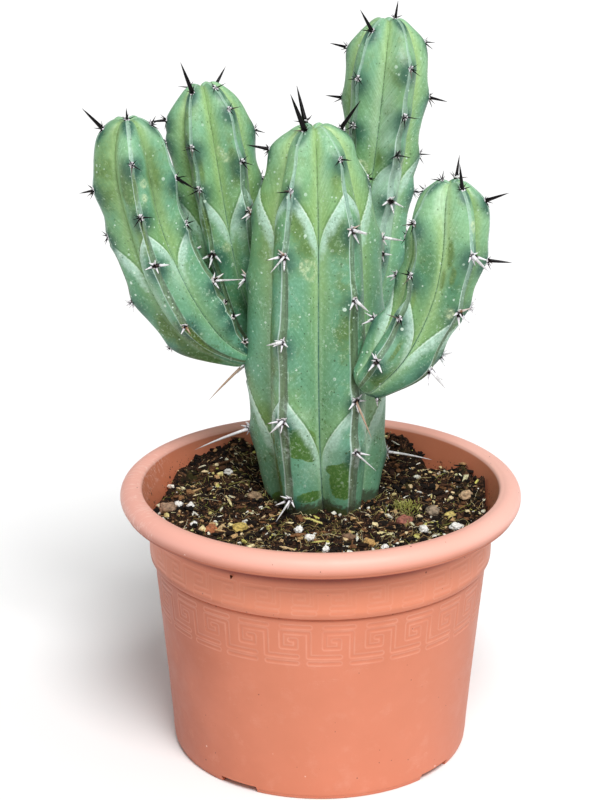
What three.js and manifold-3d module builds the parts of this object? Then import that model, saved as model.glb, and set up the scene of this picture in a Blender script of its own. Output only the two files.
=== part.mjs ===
// A tall ribbed cactus of five stems in a plastic nursery pot with a rolled rim.
// Millimetres, +Z up, the pot stands on z = 0. The front of the plant looks towards -Y.
import * as THREE from "three";
import { mergeVertices } from "three/addons/utils/BufferGeometryUtils.js";
import Module from "manifold-3d";

const wasm = await Module();
wasm.setup();

// ---------- driving dimensions ----------

const fitGap = 0.3; // air between two pieces that touch
const degree = Math.PI / 180;

const pot = {
  sides: 48,
  rimRadius: 130, // outside of the rolled rim
  rimCentre: 173, // height of the middle of the roll
  rimHalfWidth: 8,
  rimHalfHeight: 7.5,
  lipAngle: -60, // where the roll's outer edge stops, below its middle
  rollBackAngle: 200, // where the roll meets the inner wall
  rollSteps: 13,
  wall: 2.8,
  // outside of the wall: [radius, height]
  outline: [
    [96, 0],
    [97.9, 9],
    [98.7, 20],
    [101.2, 50],
    [105.7, 100],
    [108.3, 128],
    [109.2, 130.5],
    [111.5, 134.5],
    [111.8, 150],
    [112, 163],
  ],
  footWidth: 8, // thickness of the ring the pot stands on
  floorRecess: 6, // the floor is lifted clear of the table by this much
  floorThickness: 3,
  notchAngles: [-33, 50, 147, 230], // from the front, turning to the right
  notchWidth: 27,
  notchHeight: 4.5,
  drainRadius: 6,
  drainCircle: 58,
  drainCount: 6,
};

const soil = {
  sides: 48,
  level: 158,
  mounds: [
    { x: 3, y: 24, height: 5, spread: 34 }, // earthed up round the main stem
    { x: -62, y: 82, height: 6, spread: 34 },
    { x: 76, y: 66, height: 4, spread: 30 },
    { x: -84, y: -30, height: -1.5, spread: 26 },
  ],
  ripple: 0.7,
};

// Each stem follows a cubic curve from its foot to its tip. radii are the rib edges' distance from
// that curve at equal steps from foot to tip, ribAngles the ribs' turn from the front, in degrees,
// and areoles the distance of each spine cushion below the tip, rib by rib.
// boldSpines: [rib, areole, length, lift towards the tip in degrees, swing in degrees].
const stems = {
  main_stem: {
    curve: [[5.5, 23, 128], [-5, 26.5, 214], [-2, 27, 307], [-5, 31.5, 408]],
    radii: [31, 42, 45.5, 44, 38.7, 22.7],
    capLength: 16.5,
    ribAngles: [32, 99, 151, 209, 265, 332],
    ribDepth: 0.276,
    twist: 7,
    rings: 34,
    areoles: [
      [18, 60, 104, 170, 206],
      [4, 36, 75, 130, 222],
      [22, 176, 216],
      [1, 40, 88, 196],
      [15, 56, 99, 157, 201],
      [2, 36, 75, 130, 182, 237],
    ],
    boldSpines: [
      [5, 0, 27, 64, -19],
      [3, 0, 24, 68, 0],
      [1, 0, 22, 53, -5],
      [4, 0, 15, 13, 6],
      [5, 5, 25, -14, 7],
      [4, 4, 39, -16, 6],
      [4, 3, 33, -41, 12],
      [1, 2, 15.5, -11, -3],
      [1, 4, 31, -11, -5],
      [5, 2, 24, -13, 4],
      [5, 3, 17, 7, -8],
      [5, 4, 18.5, -9, 1],
      [0, 1, 15, -2, 4],
      [0, 2, 18, -12, -4],
      [0, 3, 27, -50, 1],
      [0, 4, 26, -11, -1],
    ],
  },
  left_branch: {
    curve: [[-45, 33, 253], [-83, 31, 265], [-118, 26.5, 334], [-122, 25.5, 414]],
    radii: [7, 22.8, 27.4, 25.4, 26, 24],
    capLength: 29,
    ribAngles: [-2, 67, 140, 214, 285],
    ribDepth: 0.3,
    twist: 20,
    rings: 24,
    areoles: [
      [1, 24, 58, 90, 134],
      [5, 42, 75, 121],
      [26, 63, 105],
      [22, 58, 99, 140],
      [5, 40, 69, 111, 145],
    ],
    boldSpines: [
      [4, 0, 19, 51, -4],
      [1, 3, 23, -14, -4],
      [4, 1, 11, 3, -2],
      [1, 1, 15, -29, -17],
    ],
  },
  rear_left_branch: {
    curve: [[-26, 58, 246], [-58, 68.5, 266], [-62, 63, 344], [-77, 71, 426.5]],
    radii: [14, 21, 23.9, 26.8, 27.6, 26.2],
    capLength: 32.7,
    ribAngles: [39, 105, 161, 221, 284, 338],
    ribDepth: 0.286,
    twist: 1,
    rings: 24,
    areoles: [
      [4, 17, 50, 82, 122],
      [36, 68, 108],
      [7, 44, 84, 124],
      [3, 30, 66, 104],
      [19, 33, 68, 108],
      [4, 36, 63, 106],
    ],
    boldSpines: [
      [5, 0, 22.5, 68, -1],
      [2, 0, 18, 43, -30],
      [4, 0, 12, 6, 3],
    ],
  },
  tall_branch: {
    curve: [[17, 62, 262], [31, 84, 283.5], [41.5, 77.5, 399], [44, 85, 466.5]],
    radii: [10, 22.7, 23.5, 25, 28, 24.4],
    capLength: 31,
    ribAngles: [22, 91, 166, 237, 314],
    ribDepth: 0.276,
    twist: 21,
    rings: 28,
    areoles: [
      [1, 29, 59, 84, 114, 150],
      [15, 50, 87, 111, 152],
      [8, 40, 78, 120, 160],
      [22, 56, 94, 136],
      [8, 37, 68, 104, 144],
    ],
    boldSpines: [
      [4, 0, 17.5, 51, -14],
      [0, 0, 13, 72, -15],
      [3, 0, 13, 8, 4],
      [3, 1, 13, -1, 2],
      [1, 1, 13, -10, -2],
      [0, 3, 15, 24, -22],
    ],
  },
  right_branch: {
    curve: [[24.5, -14, 248], [51, -12, 271], [80.5, -19.5, 306], [80, -13.4, 383.5]],
    radii: [11, 22.4, 22.1, 24.1, 25.3, 23.6],
    capLength: 29,
    ribAngles: [43, 88, 176, 253, 317],
    ribDepth: 0.264,
    twist: -43,
    rings: 24,
    areoles: [
      [4, 40, 74, 111, 147],
      [11, 45, 74, 106],
      [1, 34, 68, 104],
      [9, 42, 71, 108],
      [1, 26, 61, 92, 126],
    ],
    boldSpines: [
      [2, 0, 14.5, 70, -1],
      [0, 0, 18, 67, -44],
      [1, 0, 16, 23, -1],
      [1, 1, 15.5, 7, 2],
      [0, 1, 20, -13, -2],
      [0, 3, 17, -7, -1],
    ],
  },
};

const spine = {
  length: 8.5, // an ordinary one; bold ones say their own
  radiusPerLength: 0.042,
  thinnest: 0.5,
  rooted: 2.5, // how far its foot sits in the rib
  tipLift: 60, // lift of the spines at the very tip of a stem, degrees
  tipReach: 30, // over this length below the tip the lift dies away
};

// Stones and lumps of perlite on the soil: [x, y, width, depth, height, turn in degrees].
const perlite = [
  [-62, 60, 6, 5, 4.5, 10],
  [-93, 10, 6, 5, 4.5, 40],
  [-85, 8, 5.5, 5, 4, 80],
  [-82, -20, 5, 4, 3.5, 15],
  [-14, -34, 6, 5, 4.5, 30],
  [-7, -46, 6.5, 6, 4.5, 5],
  [3, -65, 5.5, 4.5, 4, 60],
  [66, -30, 5.5, 6.5, 4.5, 25],
  [87, -28, 8, 6, 5, 0],
  [40, -60, 5.5, 4.5, 4, 70],
];
const stones = [
  [-100, 2, 12, 10, 8, 20],
  [-43, 24, 10, 7, 6, -15],
  [-52, -27, 10, 8, 6.5, 35],
  [-71, -31, 11, 7, 5.5, 60],
  [54, -18, 11, 9, 7, 10],
  [73, -3, 11, 9, 7, 80],
  [84, -10, 9, 8, 6, 45],
  [97, 20, 12, 7, 6, 30],
  [30, -54, 9, 7, 6, -20],
  [17, -44, 9, 6, 5, 15],
];
const sunkShare = 0.45; // the share of a stone's height that sits below the soil's surface

const colours = {
  terracotta: [0xd8825f, 0.55],
  soil: [0x3a2c22, 0.95],
  skin: [0x6fa07c, 0.6],
  perlite: [0xf0eeea, 0.9],
  stone: [0x9c7f5f, 0.8],
};

// ---------- helpers ----------

const group = new THREE.Group();

function addPiece(name, geometry, [colour, roughness]) {
  const material = new THREE.MeshStandardMaterial({ color: colour, roughness, metalness: 0 });
  const mesh = new THREE.Mesh(geometry, material);
  mesh.name = name;
  group.add(mesh);
}

function toSolid(geometry) {
  const bare = geometry.clone();
  bare.deleteAttribute("normal");
  bare.deleteAttribute("uv");
  const merged = mergeVertices(bare, 1e-3);
  return new wasm.Manifold(
    new wasm.Mesh({
      numProp: 3,
      vertProperties: merged.attributes.position.array,
      triVerts: new Uint32Array(merged.index.array),
    }),
  );
}

function toGeometry(solid) {
  const mesh = solid.getMesh();
  const geometry = new THREE.BufferGeometry();
  geometry.setAttribute("position", new THREE.BufferAttribute(mesh.vertProperties, 3));
  geometry.setIndex(new THREE.BufferAttribute(mesh.triVerts, 1));
  geometry.computeVertexNormals();
  return geometry;
}

// The biggest of a solid's separate bodies.
function largestBody(solid) {
  return solid.decompose().reduce((best, body) => (body.volume() > best.volume() ? body : best));
}

function turned(points, sides) {
  const profile = points.map(([radius, height]) => new THREE.Vector2(radius, height));
  return new THREE.LatheGeometry(profile, sides).rotateX(Math.PI / 2);
}

// A smooth run through values at equal steps, read at share 0..1.
function smoothThrough(values, share) {
  const place = Math.min(Math.max(share, 0), 1) * (values.length - 1);
  const i = Math.min(Math.floor(place), values.length - 2);
  const t = place - i;
  const before = values[Math.max(i - 1, 0)];
  const after = values[Math.min(i + 2, values.length - 1)];
  const slopeA = (values[i + 1] - before) / 2;
  const slopeB = (after - values[i]) / 2;
  return (
    (2 * t ** 3 - 3 * t ** 2 + 1) * values[i] +
    (t ** 3 - 2 * t ** 2 + t) * slopeA +
    (3 * t ** 2 - 2 * t ** 3) * values[i + 1] +
    (t ** 3 - t ** 2) * slopeB
  );
}

// ---------- pot ----------

function rollPoints(thinner, fromAngle, toAngle, steps) {
  const centreRadius = pot.rimRadius - pot.rimHalfWidth;
  return Array.from({ length: steps + 1 }, (_, i) => {
    const angle = (fromAngle + ((toAngle - fromAngle) * i) / steps) * degree;
    return [
      centreRadius + (pot.rimHalfWidth - thinner) * Math.cos(angle),
      pot.rimCentre + (pot.rimHalfHeight - thinner) * Math.sin(angle),
    ];
  });
}

const innerFloor = pot.floorRecess + pot.floorThickness;

// Inside of the wall, at a height.
function innerRadius(height) {
  const above = pot.outline.findIndex(([, z]) => z >= height);
  const [r1, z1] = pot.outline[Math.max(above, 1)];
  const [r0, z0] = pot.outline[Math.max(above, 1) - 1];
  return r0 + ((r1 - r0) * (height - z0)) / (z1 - z0) - pot.wall;
}

function makePot() {
  const footInside = pot.outline[0][0] - pot.footWidth;
  const profile = [
    [0, pot.floorRecess],
    [footInside, pot.floorRecess],
    [footInside, 0],
    ...pot.outline,
    ...rollPoints(pot.wall, 200, pot.lipAngle + 10, 7), // underside of the roll, outwards
    ...rollPoints(0, pot.lipAngle, pot.rollBackAngle, pot.rollSteps), // back over the top
    [innerRadius(160), 160],
    [innerRadius(128), 128],
    [innerRadius(50), 50],
    [innerRadius(20), innerFloor + 6],
    [innerRadius(20) - 4, innerFloor],
    [0, innerFloor],
  ];
  let solid = toSolid(turned(profile, pot.sides));
  const notch = new THREE.BoxGeometry(pot.notchWidth, 3 * pot.footWidth, 2 * pot.notchHeight);
  for (const angle of pot.notchAngles) {
    const cutter = notch
      .clone()
      .translate(0, -pot.outline[0][0] + pot.footWidth / 2, 0)
      .rotateZ(angle * degree);
    solid = solid.subtract(toSolid(cutter));
  }
  for (let i = 0; i < pot.drainCount; i++) {
    const angle = (i * 2 * Math.PI) / pot.drainCount;
    const drill = new THREE.CylinderGeometry(pot.drainRadius, pot.drainRadius, 4 * innerFloor, 12)
      .rotateX(Math.PI / 2)
      .translate(pot.drainCircle * Math.cos(angle), pot.drainCircle * Math.sin(angle), 0);
    solid = solid.subtract(toSolid(drill));
  }
  return solid;
}

// ---------- soil ----------

function soilHeight(x, y) {
  let height = soil.level;
  for (const mound of soil.mounds) {
    const away = Math.hypot(x - mound.x, y - mound.y) / mound.spread;
    height += mound.height * Math.exp(-away * away);
  }
  return height + soil.ripple * Math.sin(x / 9) * Math.cos(y / 11);
}

function makeSoil() {
  const floor = innerFloor + fitGap;
  const rings = [1, 0.86, 0.7, 0.54, 0.36, 0];
  const edge = innerRadius(soil.level) - 1.6;
  const profile = [
    [0, floor],
    [innerRadius(20) - 4 - fitGap, floor],
    [innerRadius(20) - fitGap - 0.3, innerFloor + 6.3],
    [innerRadius(50) - fitGap - 0.2, 50],
    [innerRadius(128) - fitGap - 0.6, 127],
    ...rings.map((share) => [edge * share, soil.level]),
  ];
  const geometry = turned(profile, soil.sides);
  const place = geometry.attributes.position;
  for (let i = 0; i < place.count; i++) {
    if (Math.abs(place.getZ(i) - soil.level) < 0.01)
      place.setZ(i, soilHeight(place.getX(i), place.getY(i)));
  }
  return toSolid(geometry);
}

// ---------- stems ----------

// The stem's middle line at a distance below its tip, with the directions along it (towards the
// tip), to its front and to its right.
function stemStation(stem, below) {
  const share = Math.min(Math.max(1 - below / stem.length, 0), 1);
  const middle = stem.line.getPointAt(share);
  const along = stem.line.getTangentAt(share);
  const front = new THREE.Vector3(0, -1, 0).addScaledVector(along, along.y).normalize();
  const right = new THREE.Vector3().crossVectors(along, front);
  return { share, middle, along, front, right };
}

// Radius of the rib edges at a distance below the tip, rounded off to nothing at the tip itself.
function ribRadius(stem, below) {
  const reach = Math.min(below / stem.capLength, 1);
  return (
    smoothThrough(stem.radii, 1 - below / stem.length) * Math.sqrt(1 - (1 - reach) ** 2.2)
  );
}

// A rib place of 0, 1, 2 ... is a rib's edge, and the halves are the furrows between them.
function ribTurn(stem, ribPlace, share) {
  const count = stem.ribAngles.length;
  const whole = Math.floor(ribPlace);
  const from = stem.ribAngles[whole % count] + 360 * Math.floor(whole / count);
  const next = stem.ribAngles[(whole + 1) % count] + 360 * Math.floor((whole + 1) / count);
  return (from + (next - from) * (ribPlace - whole) + stem.twist * (share - 0.5)) * degree;
}

function stemPoint(stem, ribPlace, below, grow) {
  const at = stemStation(stem, below);
  const turn = ribTurn(stem, ribPlace, at.share);
  const fromEdge = 2 * Math.abs(ribPlace - Math.round(ribPlace));
  const radius = (ribRadius(stem, below) + grow) * (1 - stem.ribDepth * fromEdge ** 1.35);
  return at.middle
    .addScaledVector(at.front, radius * Math.cos(turn))
    .addScaledVector(at.right, radius * Math.sin(turn));
}

// A ball whose points are moved onto the ribbed stem: its top pole becomes the tip.
function makeStemBody(stem, grow) {
  const ribs = stem.ribAngles.length;
  const ball = new THREE.SphereGeometry(1, ribs * 4, stem.rings);
  const place = ball.attributes.position;
  for (let i = 0; i < place.count; i++) {
    const down = Math.acos(THREE.MathUtils.clamp(place.getY(i), -1, 1)) / Math.PI;
    const round = (Math.atan2(place.getZ(i), place.getX(i)) / (2 * Math.PI) + 1) % 1;
    const atPole = down < 1e-4 || down > 1 - 1e-4;
    const quarter = atPole ? 0 : Math.round(round * ribs * 4) / 4;
    const below = stem.length * down ** 1.5;
    const point = atPole
      ? stemStation(stem, below).middle.addScaledVector(
          stemStation(stem, below).along,
          down < 0.5 ? grow : -grow,
        )
      : stemPoint(stem, (ribs - quarter) % ribs, below, grow);
    place.setXYZ(i, point.x, point.y, point.z);
  }
  return toSolid(ball);
}

// One spine: a thin cone from inside the rib, out to its length, along lift and swing.
function makeSpine(stem, rib, below, length, lift, swing) {
  const at = stemStation(stem, below);
  const foot = stemPoint(stem, rib, below, 0);
  const turn = ribTurn(stem, rib, at.share);
  const outward = new THREE.Vector3()
    .addScaledVector(at.front, Math.cos(turn))
    .addScaledVector(at.right, Math.sin(turn));
  const sideways = new THREE.Vector3().crossVectors(at.along, outward);
  const direction = new THREE.Vector3()
    .addScaledVector(outward, Math.cos(lift * degree) * Math.cos(swing * degree))
    .addScaledVector(sideways, Math.cos(lift * degree) * Math.sin(swing * degree))
    .addScaledVector(at.along, Math.sin(lift * degree));
  const radius = Math.max(spine.thinnest, spine.radiusPerLength * length);
  const whole = length + spine.rooted;
  const upright = new THREE.Vector3(0, 1, 0);
  const cone = new THREE.ConeGeometry(radius, whole, 4)
    .translate(0, whole / 2 - spine.rooted, 0)
    .applyQuaternion(new THREE.Quaternion().setFromUnitVectors(upright, direction))
    .translate(foot.x, foot.y, foot.z);
  return toSolid(cone);
}

function addSpines(stem, body) {
  let solid = body;
  stem.areoles.forEach((distances, rib) => {
    distances.forEach((below, index) => {
      const bold = stem.boldSpines.find(([r, a]) => r === rib && a === index);
      const nearTip = Math.max(0, 1 - below / spine.tipReach);
      const [, , length, lift, swing] = bold ?? [0, 0, spine.length, spine.tipLift * nearTip, 0];
      solid = solid.add(makeSpine(stem, rib, below, length, lift, swing));
    });
  });
  return solid;
}

// ---------- loose pieces on the soil ----------

function makeLump([x, y, width, depth, height, turn], grow, knobs) {
  const ball = new THREE.IcosahedronGeometry(1, 1);
  const place = ball.attributes.position;
  for (let i = 0; i < place.count; i++) {
    const [a, b, c] = [place.getX(i), place.getY(i), place.getZ(i)];
    const knob = 1 + knobs * Math.sin(3.1 * a + x) * Math.cos(2.7 * b + y) * Math.sin(2.3 * c + x + y);
    place.setXYZ(
      i,
      a * knob * (width / 2 + grow),
      b * knob * (depth / 2 + grow),
      c * knob * (height / 2 + grow),
    );
  }
  const lift = soilHeight(x, y) + height * (0.5 - sunkShare);
  return toSolid(ball.rotateZ(turn * degree).translate(x, y, lift));
}

// ---------- the plant in its pot ----------

for (const stem of Object.values(stems)) {
  stem.line = new THREE.CubicBezierCurve3(...stem.curve.map((point) => new THREE.Vector3(...point)));
  stem.length = stem.line.getLength();
}

const mainRoom = makeStemBody(stems.main_stem, fitGap + 0.1);

addPiece("pot", toGeometry(makePot()), colours.terracotta);

let soilSolid = makeSoil().subtract(mainRoom);
const lumps = [
  ...perlite.map((size, i) => ({ name: `perlite_${i + 1}`, size, knobs: 0.22, colour: colours.perlite })),
  ...stones.map((size, i) => ({ name: `stone_${i + 1}`, size, knobs: 0.12, colour: colours.stone })),
];
for (const lump of lumps) {
  soilSolid = soilSolid.subtract(makeLump(lump.size, fitGap, lump.knobs));
  addPiece(lump.name, toGeometry(makeLump(lump.size, 0, lump.knobs)), lump.colour);
}
addPiece("potting_soil", toGeometry(largestBody(soilSolid)), colours.soil);

for (const [name, stem] of Object.entries(stems)) {
  let solid = addSpines(stem, makeStemBody(stem, 0));
  if (name !== "main_stem") solid = largestBody(solid.subtract(mainRoom));
  addPiece(name, toGeometry(solid), colours.skin);
}

// The frame's origin is under the middle of the whole plant and pot, on the table.
const box = new THREE.Box3().setFromObject(group, true);
const middle = box.getCenter(new THREE.Vector3());
group.position.set(-middle.x, -middle.y, -box.min.z);

export default group;
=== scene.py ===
# A tall five-stemmed ribbed cactus in a terracotta-coloured plastic pot.
import bisect
import math
import random

import bmesh
import bpy
from mathutils import Matrix, Vector, noise


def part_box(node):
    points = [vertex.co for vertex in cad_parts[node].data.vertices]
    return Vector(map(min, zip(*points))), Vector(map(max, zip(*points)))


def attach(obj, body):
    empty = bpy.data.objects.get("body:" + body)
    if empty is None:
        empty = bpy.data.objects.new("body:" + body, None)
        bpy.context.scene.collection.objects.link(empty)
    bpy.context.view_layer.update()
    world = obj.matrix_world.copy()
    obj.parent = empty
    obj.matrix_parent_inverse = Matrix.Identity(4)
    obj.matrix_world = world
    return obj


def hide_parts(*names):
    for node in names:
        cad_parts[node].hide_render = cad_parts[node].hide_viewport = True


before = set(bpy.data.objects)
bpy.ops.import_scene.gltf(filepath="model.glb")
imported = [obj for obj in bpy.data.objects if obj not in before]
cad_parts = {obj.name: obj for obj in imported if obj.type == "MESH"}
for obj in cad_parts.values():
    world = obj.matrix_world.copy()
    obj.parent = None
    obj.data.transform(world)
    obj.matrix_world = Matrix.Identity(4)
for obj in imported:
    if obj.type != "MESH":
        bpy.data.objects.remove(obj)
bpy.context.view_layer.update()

mm = 0.001
potLow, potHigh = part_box("pot")
potMiddle = Vector(((potLow.x + potHigh.x) / 2, (potLow.y + potHigh.y) / 2, 0.0))
# Shapes are worked in millimetres round the pot's axis and brought into the frame at the end.
toFrame = Matrix.Translation(potMiddle) @ Matrix.Scale(mm, 4)


# ---- camera, floor and light ----

shot = {
    "lens": 100.0,
    "sensor": 36.0,
    "stands": (-13.3, -1345.0, 709.1),  # mm from the foot of the pot's axis
    "looksDown": 19.4,  # degrees
}
studio = {
    "floorSize": 9.0,
    "floorTone": (250, 250, 250),
    "skyStrength": 0.34,
    "keyStrength": 2.85,
    "keyTurn": 16,  # degrees to the right of the camera
    "keyHeight": 54,
    "keySoftness": 26,
    "fillStrength": 0.35,
    "fillTurn": 75,
    "fillHeight": 40,
    "fillSoftness": 60,
    "exposure": 0.0,
}


def fromScreen(red, green, blue):
    # a colour as a screen shows it, 0 to 255, turned into the light it stands for
    def one(value):
        share = value / 255
        return share / 12.92 if share <= 0.04045 else ((share + 0.055) / 1.055) ** 2.4

    return (one(red), one(green), one(blue), 1.0)


def asLight(colour):
    return fromScreen(*colour) if len(colour) == 3 else colour


def addObject(name, data):
    thing = bpy.data.objects.new(name, data)
    bpy.context.scene.collection.objects.link(thing)
    return thing


def meshOf(bm, name):
    mesh = bpy.data.meshes.new(name)
    bm.to_mesh(mesh)
    bm.free()
    return mesh


def setCamera():
    data = bpy.data.cameras.new("camera")
    data.lens = shot["lens"]
    data.sensor_width = shot["sensor"]
    camera = addObject("camera", data)
    camera.location = toFrame @ Vector(shot["stands"])
    camera.rotation_euler = (math.radians(90 - shot["looksDown"]), 0.0, 0.0)
    bpy.context.scene.camera = camera


def addSun(name, strength, turn, height, softness):
    data = bpy.data.lights.new(name, "SUN")
    data.energy = strength
    data.angle = math.radians(softness)
    addObject(name, data).rotation_euler = (math.radians(90 - height), 0.0, math.radians(turn))


def setStudio():
    scene = bpy.context.scene
    world = bpy.data.worlds.new("studio")
    world.use_nodes = True
    sky = world.node_tree.nodes["Background"]
    sky.inputs["Color"].default_value = (1.0, 1.0, 1.0, 1.0)
    sky.inputs["Strength"].default_value = studio["skyStrength"]
    scene.world = world
    scene.view_settings.view_transform = "Standard"
    scene.view_settings.exposure = studio["exposure"]
    for name in ("key", "fill"):
        addSun(name, *[studio[name + part] for part in ("Strength", "Turn", "Height", "Softness")])
    bm = bmesh.new()
    bmesh.ops.create_grid(bm, x_segments=1, y_segments=1, size=studio["floorSize"] / 2)
    floor = addObject("floor", meshOf(bm, "floor"))
    finish = Finish("pale_floor")
    finish.colour = studio["floorTone"]
    finish.close(0.9, 0.0)
    floor.data.materials.append(bpy.data.materials["pale_floor"])


# ---- putting a material together ----

class Finish:
    # one material and its node tree. A colour of three numbers is one as a screen shows it, 0 to 255.
    def __init__(self, name):
        material = bpy.data.materials.new(name)
        material.use_nodes = True
        self.tree = material.node_tree
        self.shader = self.tree.nodes["Principled BSDF"]
        self.colour = (200, 200, 200)

    def plug(self, source, socket):
        # a node's output, or a plain number or colour, goes into a socket
        if isinstance(source, bpy.types.NodeSocket):
            self.tree.links.new(source, socket)
        else:
            socket.default_value = asLight(source) if isinstance(source, tuple) else source

    def put(self, name, source):
        self.plug(source, self.shader.inputs[name])

    def spot(self, stretch=(1.0, 1.0, 1.0)):
        where = self.tree.nodes.new("ShaderNodeTexCoord").outputs["Object"]
        if stretch == (1.0, 1.0, 1.0):
            return where
        mapping = self.tree.nodes.new("ShaderNodeMapping")
        mapping.inputs["Scale"].default_value = stretch
        self.plug(where, mapping.inputs["Vector"])
        return mapping.outputs["Vector"]

    def read(self, name):
        # a number that the piece's points carry
        node = self.tree.nodes.new("ShaderNodeAttribute")
        node.attribute_name = name
        return node.outputs["Fac"]

    def sums(self, operation, first, second=0.0):
        node = self.tree.nodes.new("ShaderNodeMath")
        node.operation = operation
        self.plug(first, node.inputs[0])
        self.plug(second, node.inputs[1])
        return node.outputs[0]

    def times(self, *factors):
        # the product of outputs and numbers; a tuple stands for a fade
        factors = [self.fade(*factor) if isinstance(factor, tuple) else factor for factor in factors]
        product = factors[0]
        for factor in factors[1:]:
            product = self.sums("MULTIPLY", product, factor)
        return product

    def plus(self, first, *others):
        for other in others:
            first = self.sums("ADD", first, other)
        return first

    def swing(self, value, reach):
        # a noise round 0.5 turned into one round 0
        return self.times(self.sums("SUBTRACT", value, 0.5), reach)

    def fade(self, value, start, end, low=0.0, high=1.0):
        # runs smoothly from low to high as value goes from start to end
        node = self.tree.nodes.new("ShaderNodeMapRange")
        node.interpolation_type = "SMOOTHSTEP"
        self.plug(value, node.inputs["Value"])
        for socket, number in zip(("From Min", "From Max", "To Min", "To Max"), (start, end, low, high)):
            node.inputs[socket].default_value = number
        return node.outputs["Result"]

    def near(self, value, middle, reach):
        # 1 where value is at middle, 0 at reach or more away from it
        return self.fade(self.sums("ABSOLUTE", self.sums("SUBTRACT", value, middle)), reach, 0.0)

    def noisy(self, where, scale, detail=3.0, roughness=0.55, distortion=0.0):
        node = self.tree.nodes.new("ShaderNodeTexNoise")
        node.inputs["Scale"].default_value = scale
        node.inputs["Detail"].default_value = detail
        node.inputs["Roughness"].default_value = roughness
        node.inputs["Distortion"].default_value = distortion
        self.plug(where, node.inputs["Vector"])
        return node.outputs["Fac"]

    def dots(self, where, scale, size, kept):
        # small round spots: size is the share of a cell that a spot fills, kept the share of cells with one
        cells = self.tree.nodes.new("ShaderNodeTexVoronoi")
        cells.inputs["Scale"].default_value = scale
        self.plug(where, cells.inputs["Vector"])
        split = self.tree.nodes.new("ShaderNodeSeparateColor")
        self.plug(cells.outputs["Color"], split.inputs["Color"])
        chosen = self.sums("LESS_THAN", split.outputs["Red"], kept)
        reach = self.times(split.outputs["Green"], size)
        inside = self.fade(self.sums("SUBTRACT", cells.outputs["Distance"], reach), 0.04, 0.0)
        return self.times(inside, chosen)

    def blend(self, share, under, over, way="MIX"):
        node = self.tree.nodes.new("ShaderNodeMix")
        node.data_type = "RGBA"
        node.blend_type = way
        self.plug(share, node.inputs[0])
        self.plug(under, node.inputs[6])
        self.plug(over, node.inputs[7])
        return node.outputs[2]

    def paint(self, share, over, way="MIX"):
        # one more coat over the colour so far; a list is a product of shares
        if isinstance(share, list):
            share = self.times(*share)
        self.colour = self.blend(share, self.colour, over, way)

    def ramp(self, value, stops):
        node = self.tree.nodes.new("ShaderNodeValToRGB")
        elements = node.color_ramp.elements
        for place, colour in stops[:-2]:
            elements.new(place)
        for element, (place, colour) in zip(elements, stops):
            element.position = place
            element.color = asLight(colour)
        self.plug(value, node.inputs["Fac"])
        return node.outputs["Color"]

    def close(self, roughness, specular=0.5):
        self.put("Base Color", self.colour)
        self.put("Roughness", roughness)
        self.put("Specular IOR Level", specular)

    def roughen(self, height, strength, depth):
        bump = self.tree.nodes.new("ShaderNodeBump")
        bump.inputs["Strength"].default_value = strength
        bump.inputs["Distance"].default_value = depth
        self.plug(height, bump.inputs["Height"])
        self.put("Normal", bump.outputs["Normal"])


# ---- small helpers for pieces ----

def finishPiece(bm, name, material, nodes=(), sharpAngle=None):
    bm.transform(toFrame)
    mesh = meshOf(bm, name)
    mesh.materials.append(bpy.data.materials[material])
    mesh.polygons.foreach_set("use_smooth", [True] * len(mesh.polygons))
    if sharpAngle is not None:
        mesh.set_sharp_from_angle(angle=math.radians(sharpAngle))
    piece = addObject(name, mesh)
    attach(piece, "root")
    if nodes:
        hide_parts(*nodes)
    return piece


def smoothStep(start, end, value):
    share = min(max((value - start) / (end - start), 0.0), 1.0)
    return share * share * (3 - 2 * share)


def smoothThrough(values, share):
    # a smooth run through values at equal steps, read at share 0 to 1
    spot = min(max(share, 0.0), 1.0) * (len(values) - 1)
    i = min(int(spot), len(values) - 2)
    t = spot - i
    before = values[max(i - 1, 0)]
    after = values[min(i + 2, len(values) - 1)]
    slopeA = (values[i + 1] - before) / 2
    slopeB = (after - values[i]) / 2
    return (
        (2 * t**3 - 3 * t**2 + 1) * values[i]
        + (t**3 - 2 * t**2 + t) * slopeA
        + (3 * t**2 - 2 * t**3) * values[i + 1]
        + (t**3 - t**2) * slopeB
    )


def rodShape(sides, steps):
    # an upright rod of radius 1 from z = 0 to 1, in short lengths so that it can bend and taper
    bm = bmesh.new()
    bmesh.ops.create_cone(
        bm, cap_ends=True, segments=sides, radius1=1.0, radius2=1.0, depth=1.0,
        matrix=Matrix.Translation((0.0, 0.0, 0.5)),
    )
    upright = [e for e in bm.edges if abs(e.verts[0].co.z - e.verts[1].co.z) > 0.5]
    bmesh.ops.subdivide_edges(bm, edges=upright, cuts=steps - 1, use_grid_fill=True)
    return meshOf(bm, "rod_shape")


def ballShape(rounds):
    bm = bmesh.new()
    bmesh.ops.create_icosphere(bm, subdivisions=rounds, radius=1.0)
    return meshOf(bm, "ball_shape")


def turnRound(bm, profile, steps):
    # a profile of points and edges turned once round the pot's axis
    bmesh.ops.spin(
        bm, geom=profile, cent=(0.0, 0.0, 0.0), axis=(0.0, 0.0, 1.0), dvec=(0.0, 0.0, 0.0),
        angle=2 * math.pi, steps=steps, use_merge=True,
    )


def stamp(bm, shape, moved, facts):
    # one more copy of a small shape: moved says where each point goes, facts what each point carries
    first = len(bm.verts)
    bm.from_mesh(shape)
    bm.verts.ensure_lookup_table()
    for vert in bm.verts[first:]:
        rest = vert.co.copy()
        vert.co = moved(rest)
        for layer, value in facts.items():
            vert[layer] = value(rest) if callable(value) else value


# ---- the stems ----

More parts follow.
